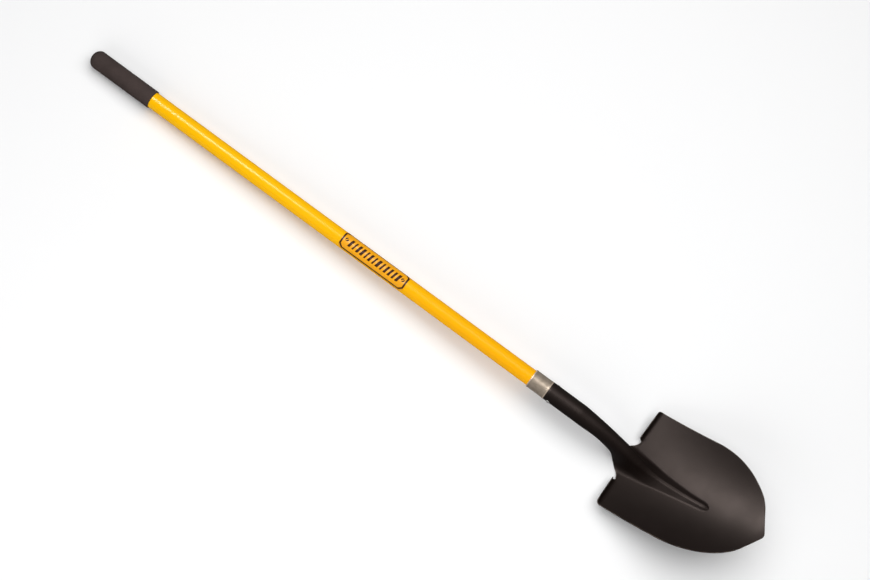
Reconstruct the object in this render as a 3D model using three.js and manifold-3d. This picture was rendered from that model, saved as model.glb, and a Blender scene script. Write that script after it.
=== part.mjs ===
// Round point shovel with a long straight handle, lying on its back on the floor, dish up.
// Built along the handle: x runs from the grip to the tip, 0 at the foot rests,
// y to the side, z to the front.
import * as THREE from "three";
import Module from "manifold-3d";

const wasm = await Module();
wasm.setup();

// ---- driving dimensions, mm ----
const SHEET = 1.8; // steel thickness of the blade and its socket
const SHAFT_R = 16; // fibreglass tube, outside
const SHAFT_WALL = 4;
const SLIP = 0.3; // clearance between a part and the one it sleeves
const GAP = 0.3; // clearance between two ends that meet

const TIP_X = 272.5; // foot rest to tip
const HALF_WIDTH = 108;
const SIDE_ARC_R = 172; // the parallel sides close in this arc
const SIDE_ARC_TURN = 40; // degrees, its end
const POINT_ARC_R = 98;
const POINT_TURN = 60.5; // degrees, run of the edge up to the tip
const TIP_R = 12;

const HEEL_DEPTH = 55; // dish bottom below the handle axis, at the foot rests
const LIFT_SLOPE = 0.079; // rise of the dish bottom per mm, at the foot rests
const LIFT_CURVE = 0.00111; // its growth toward the tip
const DISH_CURVE = 0.0018; // crosswise curvature of the dish, at the foot rests
const DISH_GAIN = 1.6e-5; // its growth per mm toward the tip
const DISH_FADE = 1.6e-8; // and how that growth eases off
const TIP_RISE = 4.2; // how far the dish bottom swells up before the tip
const TIP_RISE_X = 205; // where that starts

const FROG_X = 174; // end of the ridge
const FROG_NOSE = 14; // length of its rounded end
const FROG_FLAT = 1.5; // half width of the ridge's flat top at its middle
const FROG_TOP_R = [11, 5]; // rounding of the ridge's top, at the foot rests and at its middle
const FROG_FOOT_R = [16, 10]; // rounding at its foot, likewise
const FROG_MID_X = 70;
const FROG_LOOSE_X = 110; // from here the mesh columns let go of the ridge's shape
const STEP_X = 2; // the foot rests' treads
const STEP_CURVE = 0.00149; // their free edge: its crosswise rise
const STEP_EDGE = 41.5; // and its depth on the centre line
const STEP_BEND_R = 8; // to the middle of the sheet
const STEP_START = 47; // from the centre line to the foot rest's inner end
const STEP_CORNER_R = 11;
const ROOT_X = 13.2; // the blade's top line, where the foot rests' bend begins
const ROOT_END = 44.5; // from the centre line to the corner between neck and foot rest
const WEB_LEVEL = 1 / 6; // share of the foot rest's depth that the neck's edge runs into
const WEB_FADE = [-12, 24]; // from here along the neck, and across it, the sheet turns up to that
const CLIMB = 0.5; // share of the foot rest's depth its inner end is cut back over

const SOCKET_X = -183.7; // socket mouth
const BEND_X = -112; // where the socket starts to swing back
const NARROW_X = -62; // where it starts to open
const NARROW_R = 15.1;
const SEAM = 3; // open gap at the socket's back
const NECK_SPREAD = 58; // half the sheet's width at the neck, along the surface
const NECK_EASE = 25; // how far before the narrow point the sheet starts to widen
const NECK_EXACT_X = -10; // from here the neck takes up the pressed section itself
const NECK_SPARE = 10; // how far past the foot rest's inner end a section is measured
const OPENING = [-78, 10]; // from tube section to ridge section

// Half width of the ridge at its foot, and height of its top, as [x, value] along the handle.
const FROG_FOOT = [
  [-80, 37],
  [-20, 35],
  [8, 33],
  [30, 29.5],
  [50, 26],
  [75, 21],
  [100, 17.5],
  [134, 13.5],
  [180, 10],
];
const SPINE = [
  [BEND_X, SHAFT_R + SLIP + SHEET / 2],
  [-62, 9.3],
  [-9, -4.6],
  [24, -19.5],
  [47, -30],
  [70, -33.6],
  [98, -29],
  [130, -20.8],
  [180, -1],
];

const COLLAR_LENGTH = 38; // it butts against the socket's mouth
const COLLAR_WALL = 1.65;
const COLLAR_BEAD = 0.35; // how far the rims at its ends stand out
const COLLAR_RIM = 3; // their width
const COLLAR_SOFT = 0.5; // break of its edges

const RIVET_X = -173;
const RIVET_R = 2.5;
const RIVET_SLIP = 0.25;
const RIVET_HEAD_R = 4;
const RIVET_HEAD = 1.8;
const RIVET_TAIL_R = 3.4;
const RIVET_TAIL = 1.4;
const RIVET_EDGE = 0.3; // height of the head's and the tail's upright edge

const SHAFT_X = [-1226, -114];
const GRIP_CAP = 14; // foam past the tube's end
const GRIP_LENGTH = 144;
const GRIP_WALL = 1.7;
const GRIP_DOME = 0.8; // depth of its rounded end, over its radius
const GRIP_SOFT = 0.8; // break of its open end's edge
const TOP_PLUG = 24; // length of the plug in the tube's top end
const SOCKET_PLUG = 120; // length of the dowel in its lower end
const PLUG_INSET = 2; // how far both sit inside the tube's ends
const PLUG_CHAMFER = 2;
const LABEL_X = [-653, -506];
const LABEL = 0.15; // film thickness
const LABEL_LIFT = 0.1;
const LABEL_WRAP = 73; // degrees each way
const LABEL_TURN = -7; // degrees about the handle

const AROUND = 48;
const DOME_STEPS = 8;
const COLUMNS = { arc: 4, foot: 3, middle: 4, wing: 7 };
const BLADE_ROWS = 13;
const NOSE_ROWS = 4;
const POINT_ROWS = 11;
const TIP_ROWS = 2;
const NECK_ROWS = 7;
const THROAT_ROWS = 6;
const STEP_ROWS = 6;
const ROW_CROWD = 1.25; // above 1 crowds rows and columns toward one end
const WING_CROWD = 1.4;
const SECTION_STEP = 0.25; // how finely a section is measured
const STRETCH_STEPS = 12; // and how finely a neck row is rolled out between two columns
const DRILL_REACH = 4; // drill length over the grip's radius

// ---- small maths ----
const rad = THREE.MathUtils.degToRad;
const lerp = THREE.MathUtils.lerp;
const smooth = (a, b, x) => THREE.MathUtils.smoothstep(x, a, b);
const share = (n) => Array.from({ length: n + 1 }, (_, i) => i / n);

// A smooth curve through [x, value] points.
function curve(points) {
  const n = points.length;
  const slope = points.map((p, i) => {
    const a = points[Math.max(i - 1, 0)];
    const b = points[Math.min(i + 1, n - 1)];
    return (b[1] - a[1]) / (b[0] - a[0]);
  });
  return (x) => {
    let i = 0;
    while (i < n - 2 && x > points[i + 1][0]) i += 1;
    const [x0, v0] = points[i];
    const [x1, v1] = points[i + 1];
    const u = THREE.MathUtils.clamp((x - x0) / (x1 - x0), 0, 1);
    const d = x1 - x0;
    const rise = 3 * u * u - 2 * u ** 3;
    const leave = u ** 3 - 2 * u * u + u;
    const arrive = u ** 3 - u * u;
    return lerp(v0, v1, rise) + d * (leave * slope[i] + arrive * slope[i + 1]);
  };
}

// ---- places and sizes that follow ----
const FIT_R = SHAFT_R + SLIP; // inside of everything that sleeves the tube
const SOCKET_R = FIT_R + SHEET / 2; // to the middle of the sheet
const COLLAR_X = [SOCKET_X - GAP - COLLAR_LENGTH, SOCKET_X - GAP];
const COLLAR_R = FIT_R + COLLAR_WALL;
const COLLAR_RIM_R = COLLAR_R + COLLAR_BEAD;
const GRIP_X = [SHAFT_X[0] - GRIP_CAP, SHAFT_X[0] - GRIP_CAP + GRIP_LENGTH];
const GRIP_R = FIT_R + GRIP_WALL;

// ---- the blade's middle surface ----
const TIP_SWELL = 27 / 4; // makes u * u * (1 - u) peak at 1

function dishBottom(x) {
  const u = Math.max((x - TIP_RISE_X) / (TIP_X - TIP_RISE_X), 0);
  const swell = TIP_RISE * TIP_SWELL * u * u * (1 - u);
  return -HEEL_DEPTH + LIFT_SLOPE * x + LIFT_CURVE * x * x + swell;
}

const dishCurve = (x) => DISH_CURVE + DISH_GAIN * x - DISH_FADE * x * x;
const dish = (x, y) => dishBottom(x) + dishCurve(x) * y * y;

const footCurve = curve(FROG_FOOT);
const spineCurve = curve(SPINE);
const spine = (x) => (x < BEND_X ? SPINE[0][1] : spineCurve(x));

// The ridge's section at x: an arc, a straight flank and a hollow arc at its foot.
function ridge(x) {
  const u = smooth(0, FROG_MID_X, x);
  const nose = THREE.MathUtils.clamp((x - FROG_X + FROG_NOSE) / FROG_NOSE, 0, 1);
  const height = x < FROG_X ? (spine(x) - dishBottom(x)) * (1 - nose * nose) : 0;
  const foot = footCurve(x) * Math.sqrt(1 - nose * nose);
  const flat = Math.min(FROG_FLAT * u * (1 - smooth(FROG_MID_X, FROG_X, x) / 2), foot / 2);
  const reach = foot - flat;
  const wanted = lerp(...FROG_TOP_R, u) + lerp(...FROG_FOOT_R, u);
  const room = height > 0 ? (reach * reach + height * height) / (2 * height) : wanted;
  const fit = Math.min(1, (0.9 * room) / wanted); // keeps both roundings inside a low ridge
  const top = fit * lerp(...FROG_TOP_R, u);
  const round = fit * lerp(...FROG_FOOT_R, u);
  const both = top + round;
  const turn = Math.atan2(height - both, reach) + Math.asin(both / Math.hypot(reach, height - both));
  const flank = height > 0 ? (height - both * (1 - Math.cos(turn))) / Math.sin(turn) : 0;
  return { height, foot, flat, top, round, turn: height > 0 ? turn : 0, flank };
}

function ridgeRise(r, y) {
  if (r.height === 0 || y >= r.foot) return 0;
  if (y <= r.flat) return r.height;
  const over = y - r.flat;
  if (over < r.top * Math.sin(r.turn)) return r.height - r.top + Math.sqrt(r.top ** 2 - over ** 2);
  const left = r.foot - y;
  if (left < r.round * Math.sin(r.turn)) return r.round - Math.sqrt(r.round ** 2 - left ** 2);
  return r.round * (1 - Math.cos(r.turn)) + (left - r.round * Math.sin(r.turn)) * Math.tan(r.turn);
}

// Half the blade's width at x: parallel side, side arc, point arc, straight run, tip.
const sideTurn = rad(SIDE_ARC_TURN);
const pointTurn = rad(POINT_TURN);
const arcDrop = SIDE_ARC_R * (1 - Math.cos(sideTurn));
const pointDrop = POINT_ARC_R * (Math.cos(sideTurn) - Math.cos(pointTurn));
const runStart = HALF_WIDTH - arcDrop - pointDrop;
const runEnd = TIP_R * Math.cos(pointTurn);
const tipStartX = TIP_X - TIP_R * (1 - Math.sin(pointTurn));
const runStartX = tipStartX - (runStart - runEnd) / Math.tan(pointTurn);
const pointStartX = runStartX - POINT_ARC_R * (Math.sin(pointTurn) - Math.sin(sideTurn));
const sideStartX = pointStartX - SIDE_ARC_R * Math.sin(sideTurn);

function halfWidth(x) {
  const arc = (r, along) => Math.sqrt(Math.max(r * r - along * along, 0));
  if (x <= sideStartX) return HALF_WIDTH;
  if (x <= pointStartX) return HALF_WIDTH - SIDE_ARC_R + arc(SIDE_ARC_R, x - sideStartX);
  if (x <= runStartX) {
    const along = x - pointStartX + POINT_ARC_R * Math.sin(sideTurn);
    return HALF_WIDTH - arcDrop - POINT_ARC_R * Math.cos(sideTurn) + arc(POINT_ARC_R, along);
  }
  if (x <= tipStartX) return runEnd + (tipStartX - x) * Math.tan(pointTurn);
  return arc(TIP_R, x - TIP_X + TIP_R);
}

const wingStart = (x) => (STEP_START / HALF_WIDTH) * halfWidth(x);
const wingShare = share(COLUMNS.wing).map((f) => 1 - (1 - f) ** WING_CROWD);

// Where a section of the blade is cut into columns, from the centre line to the wing.
// Column CORNER runs into the corner where the neck meets the foot rest.
const CORNER = COLUMNS.arc + COLUMNS.foot + COLUMNS.middle / 2 + 2;

function columns(x) {
  const r = ridge(x);
  const foot = Math.max(r.foot * (1 - smooth(FROG_MID_X, FROG_X, x)), wingStart(x) / 4);
  const shaped = [
    0,
    ...share(COLUMNS.arc).slice(1).map((f) => r.flat + r.top * Math.sin(r.turn * f)),
    (r.flat + r.top * Math.sin(r.turn) + r.foot - r.round * Math.sin(r.turn)) / 2,
    ...share(COLUMNS.foot).map((f) => r.foot - r.round * Math.sin(r.turn * (1 - f))),
  ];
  const loose = smooth(FROG_LOOSE_X, FROG_X, x);
  const inner = shaped.map((y, i) => lerp(y, (foot * i) / (shaped.length - 1), loose));
  const last = inner[inner.length - 1];
  const knee = lerp(ROOT_END, (last + wingStart(x)) / 2, smooth(ROOT_X, ROOT_X + STEP_EDGE, x));
  const halves = share(COLUMNS.middle / 2).slice(1);
  const outer = [
    ...halves.map((f) => lerp(last, knee, f)),
    ...halves.map((f) => lerp(knee, wingStart(x), f)),
  ];
  return [...inner, ...outer];
}

// The foot rest's section at y: the dish's top edge bent square to the front.
function restProfile(y) {
  const turn = Math.atan(LIFT_SLOPE + DISH_GAIN * y * y);
  const middle = STEP_X + SHEET / 2;
  const start = middle + STEP_BEND_R * (1 + Math.sin(turn));
  const bendTop = dish(start, y) + STEP_BEND_R * Math.cos(turn);
  const flange = STEP_CURVE * y * y - STEP_EDGE - bendTop;
  return { turn, middle, start, bendTop, bend: STEP_BEND_R * (Math.PI / 2 + turn), flange };
}

// A point of it, along the sheet from the blade's top line toward the free edge.
function restPoint(y, along) {
  const p = restProfile(y);
  const strip = ROOT_X - p.start;
  if (along <= strip) return new THREE.Vector3(ROOT_X - along, y, dish(ROOT_X - along, y));
  const bent = along - strip;
  if (bent >= p.bend) return new THREE.Vector3(p.middle, y, p.bendTop + bent - p.bend);
  const a = lerp(Math.PI + p.turn, Math.PI / 2, bent / p.bend);
  const x = p.middle + STEP_BEND_R * (1 - Math.sin(a));
  return new THREE.Vector3(x, y, p.bendTop + STEP_BEND_R * Math.cos(a));
}

// level runs from the bend's start, 0, to the free edge, 1.
function restLength(y, level) {
  const p = restProfile(y);
  return ROOT_X - p.start + level * (p.bend + p.flange);
}

// One row across a foot rest, to its rounded outer corner.
function restRow(level) {
  const outer = restProfile(HALF_WIDTH);
  const toEdge = (1 - level) * (outer.bend + outer.flange);
  const rounded = Math.max(STEP_CORNER_R - toEdge, 0);
  const end = HALF_WIDTH - STEP_CORNER_R + Math.sqrt(STEP_CORNER_R ** 2 - rounded ** 2);
  return wingShare.map((f) => lerp(STEP_START, end, f)).map((y) => restPoint(y, restLength(y, level)));
}

const webX = restPoint(ROOT_END, restLength(ROOT_END, WEB_LEVEL)).x;

// How far the sheet beside the neck already turns up into the foot rest.
function webRise(x, y) {
  const p = restProfile(ROOT_END);
  if (x >= p.start || x <= WEB_FADE[0]) return 0;
  const at = Math.max(x, webX);
  const around = Math.sqrt(1 - (1 - (at - p.middle) / STEP_BEND_R) ** 2);
  const up = p.bendTop - STEP_BEND_R * around - dish(at, ROOT_END);
  return up * smooth(WEB_FADE[0], webX, x) * smooth(WEB_FADE[1], ROOT_END, y);
}

const heightAt = (x, y) => dish(x, y) + ridgeRise(ridge(x), y) + webRise(x, y);
const bladePoint = (x, y) => new THREE.Vector3(x, y, heightAt(x, y));

// A section as steps of [arc length at the step's middle, heading, arc length at its end, y, z].
function section(x, end) {
  const r = ridge(x);
  const height = (y) => dish(x, y) + ridgeRise(r, y) + webRise(x, y);
  const list = [[0, 0, 0, 0, height(0)]];
  let along = 0;
  for (let y = SECTION_STEP; y <= end + SECTION_STEP / 2; y += SECTION_STEP) {
    const before = list[list.length - 1][4];
    const z = height(y);
    const length = Math.hypot(SECTION_STEP, z - before);
    const heading = Math.atan2(z - before, SECTION_STEP);
    list.push([along + length / 2, heading, along + length, y, z]);
    along += length;
  }
  return list;
}

// Value in one column of a section at a value of another.
function lookUp(list, from, to, value) {
  let i = 1;
  while (i < list.length - 1 && value > list[i][from]) i += 1;
  const a = list[i - 1];
  const b = list[i];
  const u = THREE.MathUtils.clamp((value - a[from]) / (b[from] - a[from]), 0, 1);
  return lerp(a[to], b[to], u);
}

const MIDDLE = 0;
const HEADING = 1;
const ALONG = 2;
const ACROSS = 3;
const HEIGHT = 4;

const webSection = section(webX, STEP_START);
const webWhole = lookUp(webSection, ACROSS, ALONG, ROOT_END);
const FLARE_R = webWhole - NECK_SPREAD; // rounding where the neck meets the foot rest

// Half the sheet's width along the surface.
function spread(x) {
  const tube = Math.PI * tubeR(x) - SEAM / 2;
  const neck = lerp(tube, NECK_SPREAD, smooth(NARROW_X - NECK_EASE, webX - FLARE_R, x));
  const turn = THREE.MathUtils.clamp((x - webX + FLARE_R) / FLARE_R, 0, 1);
  return neck + FLARE_R * (1 - Math.sqrt(1 - turn * turn));
}

function tubeR(x) {
  return lerp(SOCKET_R, NARROW_R, smooth(BEND_X, NARROW_X, x));
}

// The socket and neck: a tube section that opens into the ridge section.
function neckRow(x, columnShare) {
  const open = smooth(...OPENING, x);
  const exact = smooth(NECK_EXACT_X, webX, x);
  const list = open > 0 ? section(x, STEP_START + NECK_SPARE) : null;
  const whole = spread(x);
  const r = tubeR(x);
  const row = [new THREE.Vector3(x, 0, spine(x))];
  let at = 0;
  let y = 0;
  let z = spine(x);
  for (const part of columnShare(x).slice(1)) {
    const stretch = (part * whole - at) / STRETCH_STEPS;
    for (let i = 0; i < STRETCH_STEPS; i += 1) {
      const middle = at + stretch / 2;
      const ridgeTurn = list ? lookUp(list, MIDDLE, HEADING, middle) : 0;
      const turn = (1 - open) * (-middle / r) + open * ridgeTurn;
      y += stretch * Math.cos(turn);
      z += stretch * Math.sin(turn);
      at += stretch;
    }
    const rolled = new THREE.Vector3(x, y, z);
    if (exact > 0) {
      const across = lookUp(list, ALONG, ACROSS, at);
      const height = lookUp(list, ALONG, HEIGHT, at);
      rolled.lerp(new THREE.Vector3(x, across, height), exact);
    }
    row.push(rolled);
  }
  return row;
}

// The short web that climbs from the corner to the foot rest's inner end.
function gussetRow(ys, level) {
  return ys.map((y) => {
    const u = (y - ys[0]) / (STEP_START - ys[0]);
    const climb = Math.min(level, WEB_LEVEL) + (Math.max(level - WEB_LEVEL, 0) * (u + u ** 3)) / 2;
    return restPoint(y, restLength(y, climb));
  });
}

const wingSides = (x) => wingShare.map((f) => lerp(wingStart(x), halfWidth(x), f));

// ---- mesh helpers ----
// Points of both halves are welded into one sheet, then given thickness.
function weldedSheet(patches) {
  const points = [];
  const seen = new Map();
  const quads = [];
  const put = (v) => {
    const key = [v.x, v.y, v.z].map((c) => Math.round(c * 200)).join();
    if (!seen.has(key)) {
      seen.set(key, points.length);
      points.push(v.clone());
    }
    return seen.get(key);
  };
  for (const side of [1, -1]) {
    for (const rows of patches) {
      const ids = rows.map((row) => row.map((v) => put(new THREE.Vector3(v.x, v.y * side, v.z))));
      for (let i = 0; i + 1 < ids.length; i += 1) {
        for (let j = 0; j + 1 < ids[i].length; j += 1) {
          const quad = [ids[i][j], ids[i + 1][j], ids[i + 1][j + 1], ids[i][j + 1]];
          quads.push(side > 0 ? quad : quad.reverse());
        }
      }
    }
  }
  const faces = [];
  for (const [a, b, c, d] of quads) {
    if (a !== b && b !== c && a !== c) faces.push([a, b, c]);
    if (a !== c && c !== d && a !== d) faces.push([a, c, d]);
  }
  return { points, faces };
}

function thicken({ points, faces }, thickness) {
  const normals = points.map(() => new THREE.Vector3());
  for (const [a, b, c] of faces) {
    const ab = points[b].clone().sub(points[a]);
    const ac = points[c].clone().sub(points[a]);
    const normal = ab.cross(ac);
    for (const i of [a, b, c]) normals[i].add(normal);
  }
  const edges = new Map();
  for (const [a, b, c] of faces) {
    for (const [i, j] of [[a, b], [b, c], [c, a]]) {
      if (edges.has(`${j},${i}`)) edges.delete(`${j},${i}`);
      else edges.set(`${i},${j}`, [i, j]);
    }
  }
  const offset = (sign) => points.map((v, i) => {
    return v.clone().addScaledVector(normals[i].clone().normalize(), (sign * thickness) / 2);
  });
  const all = [...offset(1), ...offset(-1)];
  const n = points.length;
  const index = faces.flatMap(([a, b, c]) => [a, b, c, n + a, n + c, n + b]);
  for (const [i, j] of edges.values()) index.push(i, n + i, n + j, i, n + j, j);
  const geometry = new THREE.BufferGeometry().setFromPoints(all);
  geometry.setIndex(index);
  return geometry;
}

// Turned about the handle axis: [x, radius] points, closed on themselves or ending on the axis.
function turned(profile) {
  const points = profile.map(([x, r]) => new THREE.Vector2(r, x));
  return new THREE.LatheGeometry(points, AROUND).rotateZ(-Math.PI / 2);
}

function sleeve(x0, x1, inner, outer) {
  const corners = [[x1, inner], [x0, inner], [x0, outer], [x1, outer]];
  return turned([...corners, corners[0]]);
}

const rod = (x0, x1, r) => turned([[x0, 0], [x0, r], [x1, r], [x1, 0]]);

function toSolid(geometry) {
  const seen = new Map();
  const vertices = [];
  const place = geometry.getAttribute("position");
  const source = geometry.index ? Array.from(geometry.index.array) : [...Array(place.count).keys()];
  const ids = source.map((i) => {
    const v = [place.getX(i), place.getY(i), place.getZ(i)];
    const key = v.map((c) => Math.round(c * 2000)).join();
    if (!seen.has(key)) {
      seen.set(key, vertices.length / 3);
      vertices.push(...v);
    }
    return seen.get(key);
  });
  const triangles = [];
  for (let i = 0; i < ids.length; i += 3) {
    const [a, b, c] = ids.slice(i, i + 3);
    if (a !== b && b !== c && a !== c) triangles.push(a, b, c);
  }
  const vertProperties = new Float32Array(vertices);
  const triVerts = new Uint32Array(triangles);
  return new wasm.Manifold(new wasm.Mesh({ numProp: 3, vertProperties, triVerts }));
}

function fromSolid(solid) {
  const mesh = solid.getMesh();
  const geometry = new THREE.BufferGeometry();
  geometry.setAttribute("position", new THREE.BufferAttribute(mesh.vertProperties, 3));
  geometry.setIndex(new THREE.BufferAttribute(mesh.triVerts, 1));
  return geometry;
}

// A hole across the handle for the rivet.
function drilled(geometry) {
  const reach = GRIP_R * DRILL_REACH;
  const drill = new THREE.CylinderGeometry(RIVET_R + RIVET_SLIP, RIVET_R + RIVET_SLIP, reach, AROUND / 2);
  return fromSolid(toSolid(geometry).subtract(toSolid(drill.translate(RIVET_X, 0, 0))));
}

function part(name, geometry, color, roughness, metalness) {
  const flat = geometry.index ? geometry.toNonIndexed() : geometry;
  flat.computeVertexNormals();
  const mesh = new THREE.Mesh(flat, new THREE.MeshStandardMaterial({ color, roughness, metalness }));
  mesh.name = name;
  return mesh;
}

// ---- parts ----
function blade() {
  const rootColumns = columns(ROOT_X);
  const webColumns = rootColumns.slice(0, CORNER + 1);
  const webShare = webColumns.map((y) => lookUp(webSection, ACROSS, ALONG, y) / webWhole);
  const even = share(CORNER);
  const columnShare = (x) => even.map((f, j) => lerp(f, webShare[j], smooth(...OPENING, x)));
  const flareX = webX - FLARE_R;
  const neckX = [
    SOCKET_X,
    (SOCKET_X + BEND_X) / 2,
    ...share(THROAT_ROWS).map((f) => lerp(BEND_X, NARROW_X, f)),
    ...share(THROAT_ROWS).slice(1).map((f) => lerp(NARROW_X, flareX, f)),
    ...share(NECK_ROWS).slice(1, -1).map((f) => flareX + FLARE_R * Math.sin((f * Math.PI) / 2)),
  ];
  const levels = share(STEP_ROWS);
  const webLevels = levels.filter((level) => level <= WEB_LEVEL).reverse();
  const webRows = webLevels.map((level) => restPoint(ROOT_END, restLength(ROOT_END, level)).x);
  const neck = [
    ...neckX.map((x) => neckRow(x, columnShare)),
    ...[...webRows, ROOT_X].map((x) => webColumns.map((y) => bladePoint(x, y))),
  ];

  const gussetColumns = rootColumns.slice(CORNER);
  const climbed = levels.filter((level) => level <= CLIMB).reverse();
  const gusset = climbed.map((level) => gussetRow(gussetColumns, level));
  gusset.push(gussetColumns.map((y) => restPoint(y, 0)));

  const noseX = FROG_X - FROG_NOSE;
  const quarter = (f) => Math.sin((f * Math.PI) / 2);
  const rowX = [
    ...share(BLADE_ROWS).map((f) => lerp(ROOT_X, noseX, f ** ROW_CROWD)),
    ...share(NOSE_ROWS).slice(1).map((f) => lerp(noseX, FROG_X, quarter(f))),
    ...share(POINT_ROWS).slice(1).map((f) => lerp(FROG_X, tipStartX, 1 - (1 - f) ** ROW_CROWD)),
    ...share(TIP_ROWS).slice(1).map((f) => lerp(tipStartX, TIP_X, quarter(f))),
  ];
  const centre = rowX.map((x) => columns(x).map((y) => bladePoint(x, y)));
  const wing = rowX.map((x) => wingSides(x).map((y) => bladePoint(x, y)));
  const rests = [...levels].reverse().map(restRow);
  return thicken(weldedSheet([neck, gusset, centre, [...rests, ...wing]]), SHEET);
}

function collar() {
  const inner = FIT_R;
  const [x0, x1] = COLLAR_X;
  const soft = COLLAR_SOFT;
  return turned([
    [x1, inner],
    [x0, inner],
    [x0, COLLAR_RIM_R - soft],
    [x0 + soft, COLLAR_RIM_R],
    [x0 + COLLAR_RIM - soft, COLLAR_RIM_R],
    [x0 + COLLAR_RIM, COLLAR_R],
    [x1 - COLLAR_RIM, COLLAR_R],
    [x1 - COLLAR_RIM + soft, COLLAR_RIM_R],
    [x1 - soft, COLLAR_RIM_R],
    [x1, COLLAR_RIM_R - soft],
    [x1, inner],
  ]);
}

// Factory head on one side, hammered tail on the other; both clear the socket by GAP.
function rivet() {
  const seat = FIT_R + SHEET + GAP;
  const edge = RIVET_EDGE;
  const quarters = share(DOME_STEPS / 2).map((f) => (f * Math.PI) / 2);
  const dome = (r, h) => quarters.map((a) => [r * Math.cos(a), h * Math.sin(a)]);
  const head = dome(RIVET_HEAD_R, RIVET_HEAD - edge).map(([r, h]) => [r, -(seat + edge + h)]);
  const tail = dome(RIVET_TAIL_R, RIVET_TAIL - edge).map(([r, h]) => [r, seat + edge + h]);
  const profile = [
    ...head.reverse(),
    [RIVET_HEAD_R, -seat],
    [RIVET_R, -seat],
    [RIVET_R, seat],
    [RIVET_TAIL_R, seat],
    ...tail,
  ];
  profile[0][0] = 0;
  profile[profile.length - 1][0] = 0;
  const points = profile.map(([r, y]) => new THREE.Vector2(r, y));
  return new THREE.LatheGeometry(points, AROUND / 2).translate(RIVET_X, 0, 0);
}

function shaft() {
  return drilled(sleeve(...SHAFT_X, SHAFT_R - SHAFT_WALL, SHAFT_R));
}

function socketPlug() {
  const bore = SHAFT_R - SHAFT_WALL;
  const end = SHAFT_X[1] - PLUG_INSET;
  const chamfer = PLUG_CHAMFER;
  const r = bore - GAP;
  const start = end - SOCKET_PLUG;
  const lower = [[start, 0], [start, r - chamfer], [start + chamfer, r]];
  const upper = [[end - chamfer, r], [end, r - chamfer], [end, 0]];
  return drilled(turned([...lower, ...upper]));
}

function topPlug() {
  const start = SHAFT_X[0] + PLUG_INSET;
  return rod(start, start + TOP_PLUG, SHAFT_R - SHAFT_WALL - GAP);
}

// Foam sleeve with a domed closed end.
function grip() {
  const [x0, x1] = GRIP_X;
  const inner = FIT_R;
  const inside = SHAFT_X[0] - GAP;
  const dome = share(DOME_STEPS).map((f) => {
    const a = (f * Math.PI) / 2;
    return [x0 + GRIP_R * GRIP_DOME * (1 - Math.cos(a)), GRIP_R * Math.sin(a)];
  });
  dome[0][1] = 0;
  const soft = GRIP_SOFT;
  return turned([
    ...dome,
    [x1 - soft, GRIP_R],
    [x1, GRIP_R - soft],
    [x1, inner],
    [inside, inner],
    [inside, 0],
  ]);
}

// Printed film round the front of the tube, its facets lined up with the tube's.
function label() {
  const inner = SHAFT_R + LABEL_LIFT;
  const outer = inner + LABEL;
  const step = 360 / AROUND;
  const first = Math.round((LABEL_TURN - LABEL_WRAP) / step);
  const last = Math.round((LABEL_TURN + LABEL_WRAP) / step);
  const turns = Array.from({ length: last - first + 1 }, (_, i) => rad((first + i) * step));
  const at = (x, r, a) => new THREE.Vector3(x, r * Math.sin(a), r * Math.cos(a));
  const [x0, x1] = LABEL_X;
  const corners = [[x0, inner], [x0, outer], [x1, outer], [x1, inner]];
  const points = turns.flatMap((a) => corners.map(([x, r]) => at(x, r, a)));
  const index = [0, 2, 1, 0, 3, 2];
  for (let i = 0; i + 1 < turns.length; i += 1) {
    for (let j = 0; j < 4; j += 1) {
      const a = i * 4 + j;
      const b = i * 4 + ((j + 1) % 4);
      index.push(a, b, b + 4, a, b + 4, a + 4);
    }
  }
  const end = (turns.length - 1) * 4;
  index.push(end, end + 1, end + 2, end, end + 2, end + 3);
  const geometry = new THREE.BufferGeometry().setFromPoints(points);
  geometry.setIndex(index);
  return geometry;
}

// ---- assembly ----
const shovel = new THREE.Group();
shovel.add(
  part("blade", drilled(blade()), 0x2b211e, 0.45, 0.6),
  part("collar", collar(), 0x9a938c, 0.35, 1),
  part("rivet", rivet(), 0xb8b6b2, 0.35, 1),
  part("shaft", shaft(), 0xf2a80d, 0.3, 0),
  part("socket_plug", socketPlug(), 0xb58a58, 0.8, 0),
  part("top_plug", topPlug(), 0x222222, 0.7, 0),
  part("grip", grip(), 0x453c38, 0.85, 0),
  part("label", label(), 0xf0a012, 0.35, 0),
);

// Laid down: tilted until the grip and the blade's heel touch the floor together.
function lowest(tilt, side) {
  let low = Infinity;
  const v = new THREE.Vector3();
  shovel.rotation.y = tilt;
  shovel.updateMatrixWorld(true);
  for (const mesh of shovel.children) {
    const place = mesh.geometry.getAttribute("position");
    for (let i = 0; i < place.count; i += 1) {
      v.fromBufferAttribute(place, i);
      if ((v.x < COLLAR_X[0]) !== side) continue;
      low = Math.min(low, v.applyMatrix4(mesh.matrixWorld).z);
    }
  }
  return low;
}

function restTilt() {
  let flat = 0;
  let steep = rad(6);
  for (let i = 0; i < 30; i += 1) {
    const tilt = (flat + steep) / 2;
    if (lowest(-tilt, true) > lowest(-tilt, false)) flat = tilt;
    else steep = tilt;
  }
  return (flat + steep) / 2;
}

const tilt = restTilt();
shovel.rotation.y = -tilt;
shovel.updateMatrixWorld(true);
const box = new THREE.Box3().setFromObject(shovel, true);
shovel.position.set(-(box.min.x + box.max.x) / 2, 0, -box.min.z);

const group = new THREE.Group();
group.add(shovel);

export default group;
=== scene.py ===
import math

import bmesh
import bpy
import numpy as np
from mathutils import Matrix, Vector, kdtree


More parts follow.
